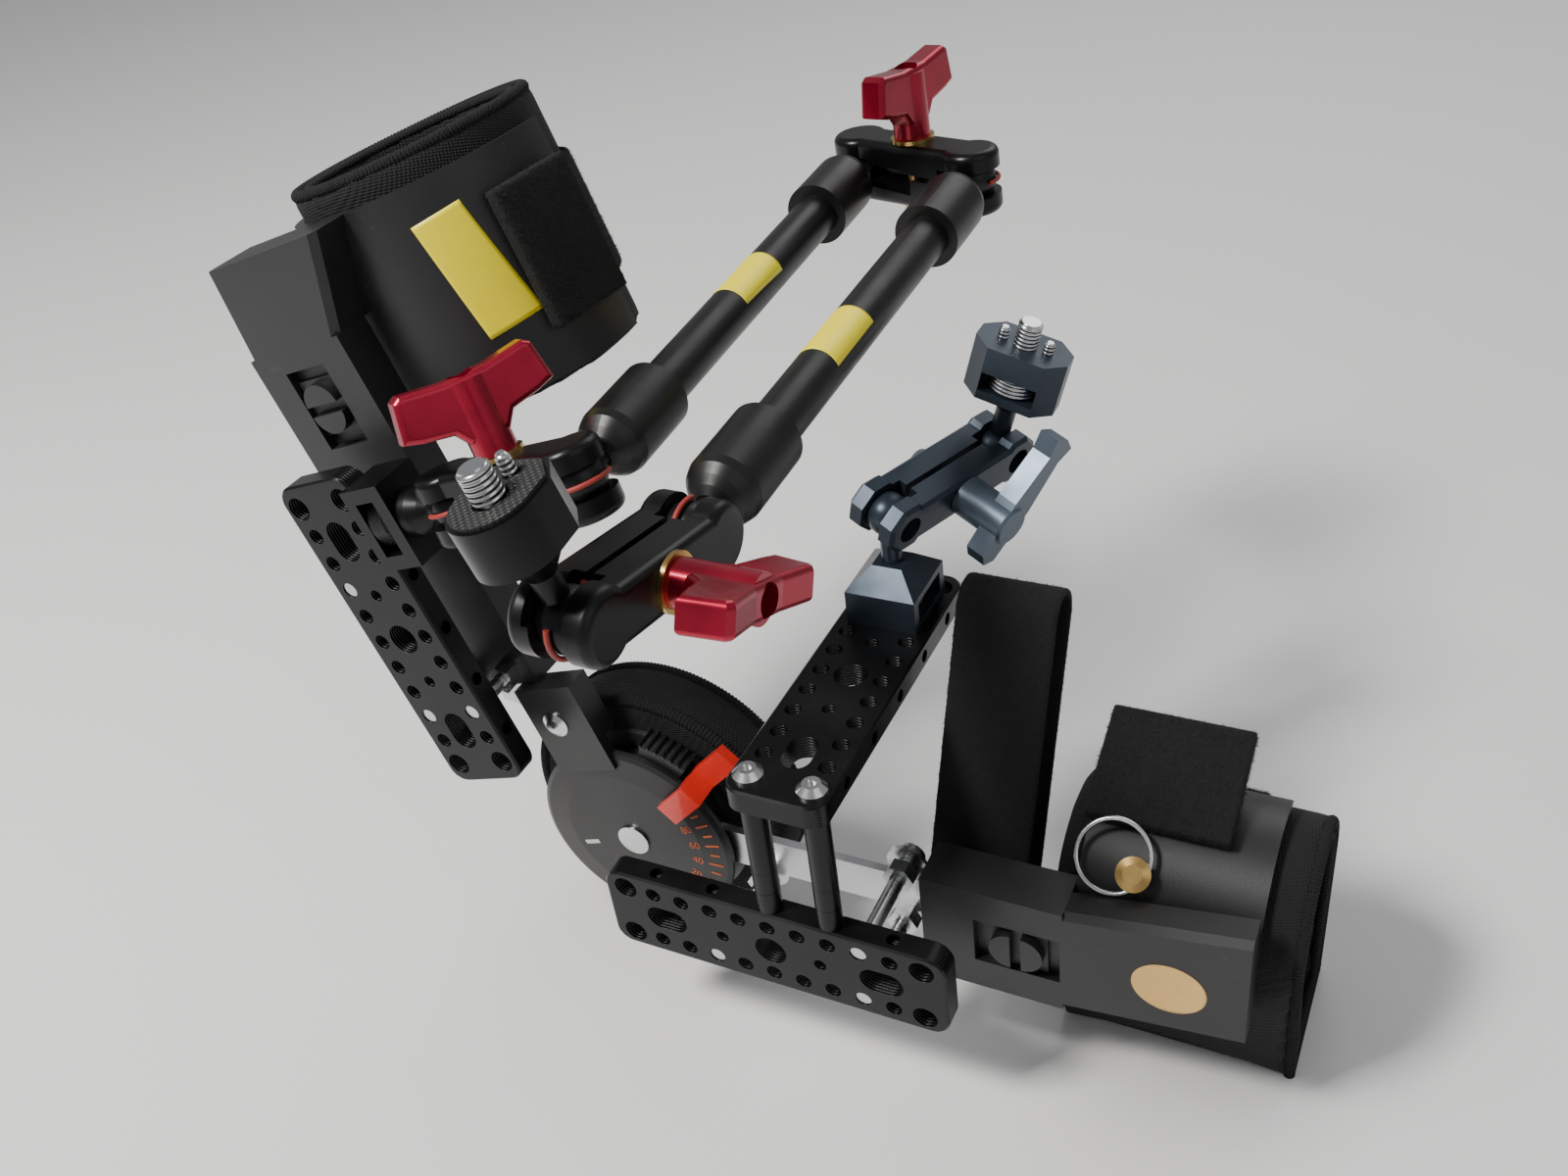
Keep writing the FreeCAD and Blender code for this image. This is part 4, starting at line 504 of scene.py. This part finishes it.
def evenly(line, count):
    """count points at equal steps along a closed line."""
    closed = line + [line[0]]
    runs = [(b - a).length for a, b in zip(closed, closed[1:])]
    total, result, run, walked = sum(runs), [], 0, 0.0
    for k in range(count):
        goal = total * k / count
        while walked + runs[run] < goal:
            walked += runs[run]
            run += 1
        result.append(closed[run].lerp(closed[run + 1], (goal - walked) / max(runs[run], 1e-9)))
    return result, total


def binding(name, line, body, outward, radius, rib, inset=0.0):
    """A ribbed round band along a closed line. outward is the rim's own direction."""
    _, total = evenly(line, 24)
    points, total = evenly(line, max(240, int(total / rib) * 6))
    count, sides = len(points), 10
    centre = sum(points, Vector()) / count
    verts, faces = [], []
    for k, point in enumerate(points):
        tangent = (points[(k + 1) % count] - points[k - 1]).normalized()
        away = tangent.cross(outward).normalized()
        if away.dot(point - centre) < 0:
            away = -away
        swell = radius * (1 + 0.09 * math.cos(2 * math.pi * k / 6))
        core = point - away * inset
        for s in range(sides):
            turn = 2 * math.pi * s / sides
            verts.append(core + (away * math.cos(turn) + Vector(outward) * math.sin(turn)) * swell)
    for k in range(count):
        for s in range(sides):
            a, b = k * sides + s, k * sides + (s + 1) % sides
            c, d = (k + 1) % count * sides + (s + 1) % sides, (k + 1) % count * sides + s
            faces.append((a, b, c, d))
    mesh = bpy.data.meshes.new(name)
    mesh.from_pydata(verts, [], faces)
    mesh.materials.append(binding_cloth)
    mesh.shade_smooth()
    thing = bpy.data.objects.new(name, mesh)
    bpy.context.scene.collection.objects.link(thing)
    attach(thing, body)
    print(name, "round", round(total / MM), "mm")
    return thing


upper_rim = rim_loops("upper_cuff_liner", upper_along)
fore_rim = rim_loops("forearm_cuff_liner", (1, 0, 0))
binding("upper_binding", upper_rim[0], "upper_cuff", upper_along, 2.1 * MM, 1.5 * MM, 2.0 * MM)
binding("upper_inner_binding", upper_rim[1], "upper_cuff", upper_along, 1.6 * MM, 1.5 * MM, -1.5 * MM)
binding("forearm_binding", fore_rim[0], "forearm_cuff", Vector((1, 0, 0)), 2.1 * MM, 1.5 * MM, 2.0 * MM)
binding("forearm_inner_binding", fore_rim[1], "forearm_cuff", Vector((1, 0, 0)), 1.6 * MM, 1.5 * MM, -1.5 * MM)
pad_low, pad_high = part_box("hinge_pad")
pad_radius = (pad_high.x - pad_low.x) / 2
pad_centre = (pad_low + pad_high) / 2
for tag, depth in (("front", pad_low.y + 2.4 * MM), ("back", pad_high.y - 2.4 * MM)):
    ring = [Vector((pad_centre.x + (pad_radius - 2.6 * MM) * math.cos(k * math.pi / 90), depth,
                    pad_centre.z + (pad_radius - 2.6 * MM) * math.sin(k * math.pi / 90))) for k in range(180)]
    binding("pad_binding_" + tag, ring, "forearm", Vector((0, -1, 0)), 2.3 * MM, 1.6 * MM)

# %% [markdown]
# Labels and dial marks are thin skins that follow a curved piece. Each starts as a flat grid, and every point is
# dropped along a ray on to the piece below, then lifted by a tenth of a millimetre. They carry no words.

# %% Lay a skin on a piece
trees = {}


def drop_on(node, origin, way):
    mesh = nodes[node].data
    tree = trees.setdefault(node, BVHTree.FromPolygons([v.co for v in mesh.vertices],
                                                      [tuple(p.vertices) for p in mesh.polygons]))
    return tree.ray_cast(origin, way)[0]


def skin(name, node, body, material, centre, way, right, up, size, shape="label", lift=0.12):
    """A skin of size (width, height), dropped along way from centre, on node."""
    columns, rows = 28, 16
    way, right, up = Vector(way).normalized(), Vector(right).normalized(), Vector(up).normalized()
    index, verts, faces = {}, [], []
    for i in range(columns + 1):
        for j in range(rows + 1):
            u, v = 2 * i / columns - 1, 2 * j / rows - 1
            if shape == "oval":
                u, v = u * math.sqrt(1 - v * v / 2), v * math.sqrt(1 - (2 * i / columns - 1) ** 2 / 2)
            start = Vector(centre) + right * u * size[0] / 2 + up * v * size[1] / 2
            spot = drop_on(node, start, way)
            if spot is not None:
                index[i, j] = len(verts)
                verts.append(spot - way * lift * MM)
    for i in range(columns):
        for j in range(rows):
            corners = [(i, j), (i + 1, j), (i + 1, j + 1), (i, j + 1)]
            if all(corner in index for corner in corners):
                faces.append(tuple(index[corner] for corner in corners))
    mesh = bpy.data.meshes.new(name)
    mesh.from_pydata(verts, [], faces)
    mesh.materials.append(material)
    mesh.shade_smooth()
    thing = bpy.data.objects.new(name, mesh)
    bpy.context.scene.collection.objects.link(thing)
    thick = thing.modifiers.new("thick", "SOLIDIFY")
    thick.thickness = 0.1 * MM
    thick.offset = 0
    swap_mesh(thing, settled(thing))
    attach(thing, body)
    print(name, len(faces), "faces")
    return thing


def paper(low, high, rough):
    return lambda place: {"Base Color": place.noise(160.0, 4.0).tint(low, high),
                          "Roughness": place.noise(90.0) * 0.2 + rough,
                          "Normal": place.noise(800.0).bump(0.00003)}


yellow = finish("yellow_tape", paper((0.86, 0.70, 0.0), (0.94, 0.80, 0.004), 0.28))
tan = finish("tan_paper", paper((0.80, 0.46, 0.12), (0.88, 0.56, 0.20), 0.4))
orange = finish("dial_orange", paper((0.50, 0.085, 0.02), (0.62, 0.13, 0.035), 0.5))
white = finish("dial_white", paper((0.62, 0.62, 0.60), (0.74, 0.74, 0.72), 0.5))

shell_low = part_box("forearm_cuff_shell")[0]
skin("round_sticker", "forearm_cuff_shell", "forearm_cuff", tan,
     (157.0 * MM, shell_low.y - 0.05, 63.0 * MM), (0, 1, 0), (1, 0, 0), (0, 0, 1), (26 * MM, 23 * MM), "oval")
label_centre = elbow + upper_along * 230 * MM + upper_side * 38 * MM + Vector((0, -0.08, 0))
skin("long_label", "upper_cuff_shell", "upper_cuff", yellow,
     label_centre, (0, 1, 0), upper_side * 0.12 - upper_along, upper_side + upper_along * 0.12, (46 * MM, 15 * MM))
for tag, node, share in (("rear", "rear_tube", 0.52), ("front", "front_tube", 0.42)):
    low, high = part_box(node)
    spot = low.lerp(high, 0.5)
    spot = Vector((spot.x, low.y + (high.y - low.y) * share, high.z + 0.05))
    skin(tag + "_tube_label", node, tag + "_tube", yellow,
         spot, (0, 0, -1), (0, 1, 0), (1, 0, 0), (30 * MM, 16 * MM))

# %% [markdown]
# The elbow dial shows the hinge's range. Its scale is an arc of short orange ticks and plain numbers on the domed
# cover. The numbers are font curves turned to meshes and dropped on to the dome like the labels.

# %% Dial scale
def on_dial(radius, angle):
    return elbow + Vector((radius * math.cos(angle), -0.06, radius * math.sin(angle)))


def tick(name, radius, length, width, angle, material):
    return skin(name, "hinge_cover", "upper_arm", material, on_dial(radius, angle), (0, 1, 0),
                (math.cos(angle), 0, math.sin(angle)), (-math.sin(angle), 0, math.cos(angle)), (length, width))


def number(text, radius, angle, height):
    curve = bpy.data.curves.new("digits", "FONT")
    curve.body = text
    curve.size = height
    curve.align_x, curve.align_y = "CENTER", "CENTER"
    source = bpy.data.objects.new("digits", curve)
    bpy.context.scene.collection.objects.link(source)
    mesh = settled(source)
    bpy.data.objects.remove(source)
    right = Vector((math.cos(angle), 0, math.sin(angle)))
    up = Vector((-math.sin(angle), 0, math.cos(angle)))
    for vertex in mesh.vertices:
        start = on_dial(radius, angle) + right * vertex.co.x + up * vertex.co.y
        spot = drop_on("hinge_cover", start, Vector((0, 1, 0)))
        vertex.co = (spot or start) - Vector((0, 0.15 * MM, 0))
    mesh.materials.clear()
    mesh.materials.append(orange)
    thing = bpy.data.objects.new("dial_number_" + text, mesh)
    bpy.context.scene.collection.objects.link(thing)
    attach(thing, "upper_arm")
    return thing


for k in range(11):
    angle = math.radians(-38 + 8 * k)
    tick(f"dial_tick_{k}", 37 * MM, 4 * MM if k % 2 else 6 * MM, 0.9 * MM, angle, orange)
    if k % 2 == 0:
        number(str(10 * k), 29 * MM, angle, 5.0 * MM)
tick("dial_mark", 24 * MM, 8 * MM, 2.0 * MM, math.radians(202), white)
print("dial scale laid")

# %% [markdown]
# The rig lies on a plain pale table under a large soft light from the front left, with a weak fill from the right.

# %% Table, lights and camera
table = bpy.data.meshes.new("table")
table.from_pydata([(-6, -6, 0), (6, -6, 0), (6, 6, 0), (-6, 6, 0)], [], [(0, 1, 2, 3)])
table.materials.append(finish("table_paper", lambda place: {
    "Base Color": place.noise(3.0).tint((0.80, 0.79, 0.78), (0.84, 0.83, 0.82)),
    "Roughness": place.noise(60.0) * 0.1 + 0.7}))
floor = bpy.data.objects.new("table", table)
bpy.context.scene.collection.objects.link(floor)


def lamp(name, place, target, size, power, colour):
    light = bpy.data.lights.new(name, "AREA")
    light.size = size
    light.energy = power
    light.color = colour
    thing = bpy.data.objects.new(name, light)
    thing.location = place
    thing.rotation_euler = (Vector(target) - Vector(place)).to_track_quat("-Z", "Y").to_euler()
    bpy.context.scene.collection.objects.link(thing)


lamp("key", (-0.62, -0.72, 1.45), (0, 0, 0.1), 0.38, 36, (1.0, 0.985, 0.96))
lamp("fill", (1.3, -0.5, 1.2), (0, 0, 0.1), 1.2, 3, (0.95, 0.97, 1.0))
lamp("back", (0.1, 1.4, 1.3), (0, 0, 0.1), 1.0, 7, (1.0, 1.0, 1.0))
world = bpy.data.worlds.new("room")
world.use_nodes = True
world.node_tree.nodes["Background"].inputs["Color"].default_value = (0.93, 0.94, 0.96, 1)
world.node_tree.nodes["Background"].inputs["Strength"].default_value = 0.33
bpy.context.scene.world = world

face_low, face_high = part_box("forearm_plate")
face = Vector(((face_low.x + face_high.x) / 2, face_low.y, (face_low.z + face_high.z) / 2))
lens = bpy.data.cameras.new("camera")
lens.lens = 34.75
lens.sensor_width = 36
lens.clip_start = 0.01
camera = bpy.data.objects.new("camera", lens)
camera.location = face + Vector((210.9, -316.8, 426.6)) * MM
ahead = Vector((-0.411, 0.708, -0.574)).normalized()
above = Vector((-0.165, 0.561, 0.811))
right = ahead.cross(above).normalized()
above = right.cross(ahead)
turn = bpy.context.scene.cursor.matrix.to_3x3()
turn.col[0], turn.col[1], turn.col[2] = right, above, -ahead
camera.rotation_euler = turn.to_euler()
bpy.context.scene.collection.objects.link(camera)
bpy.context.scene.camera = camera
print("camera at", tuple(round(value, 3) for value in camera.location))

# %% [markdown]
# Last, the view layer is brought up to date so every piece sits in its final place.

# %% Finish: update the scene
bpy.context.view_layer.update()
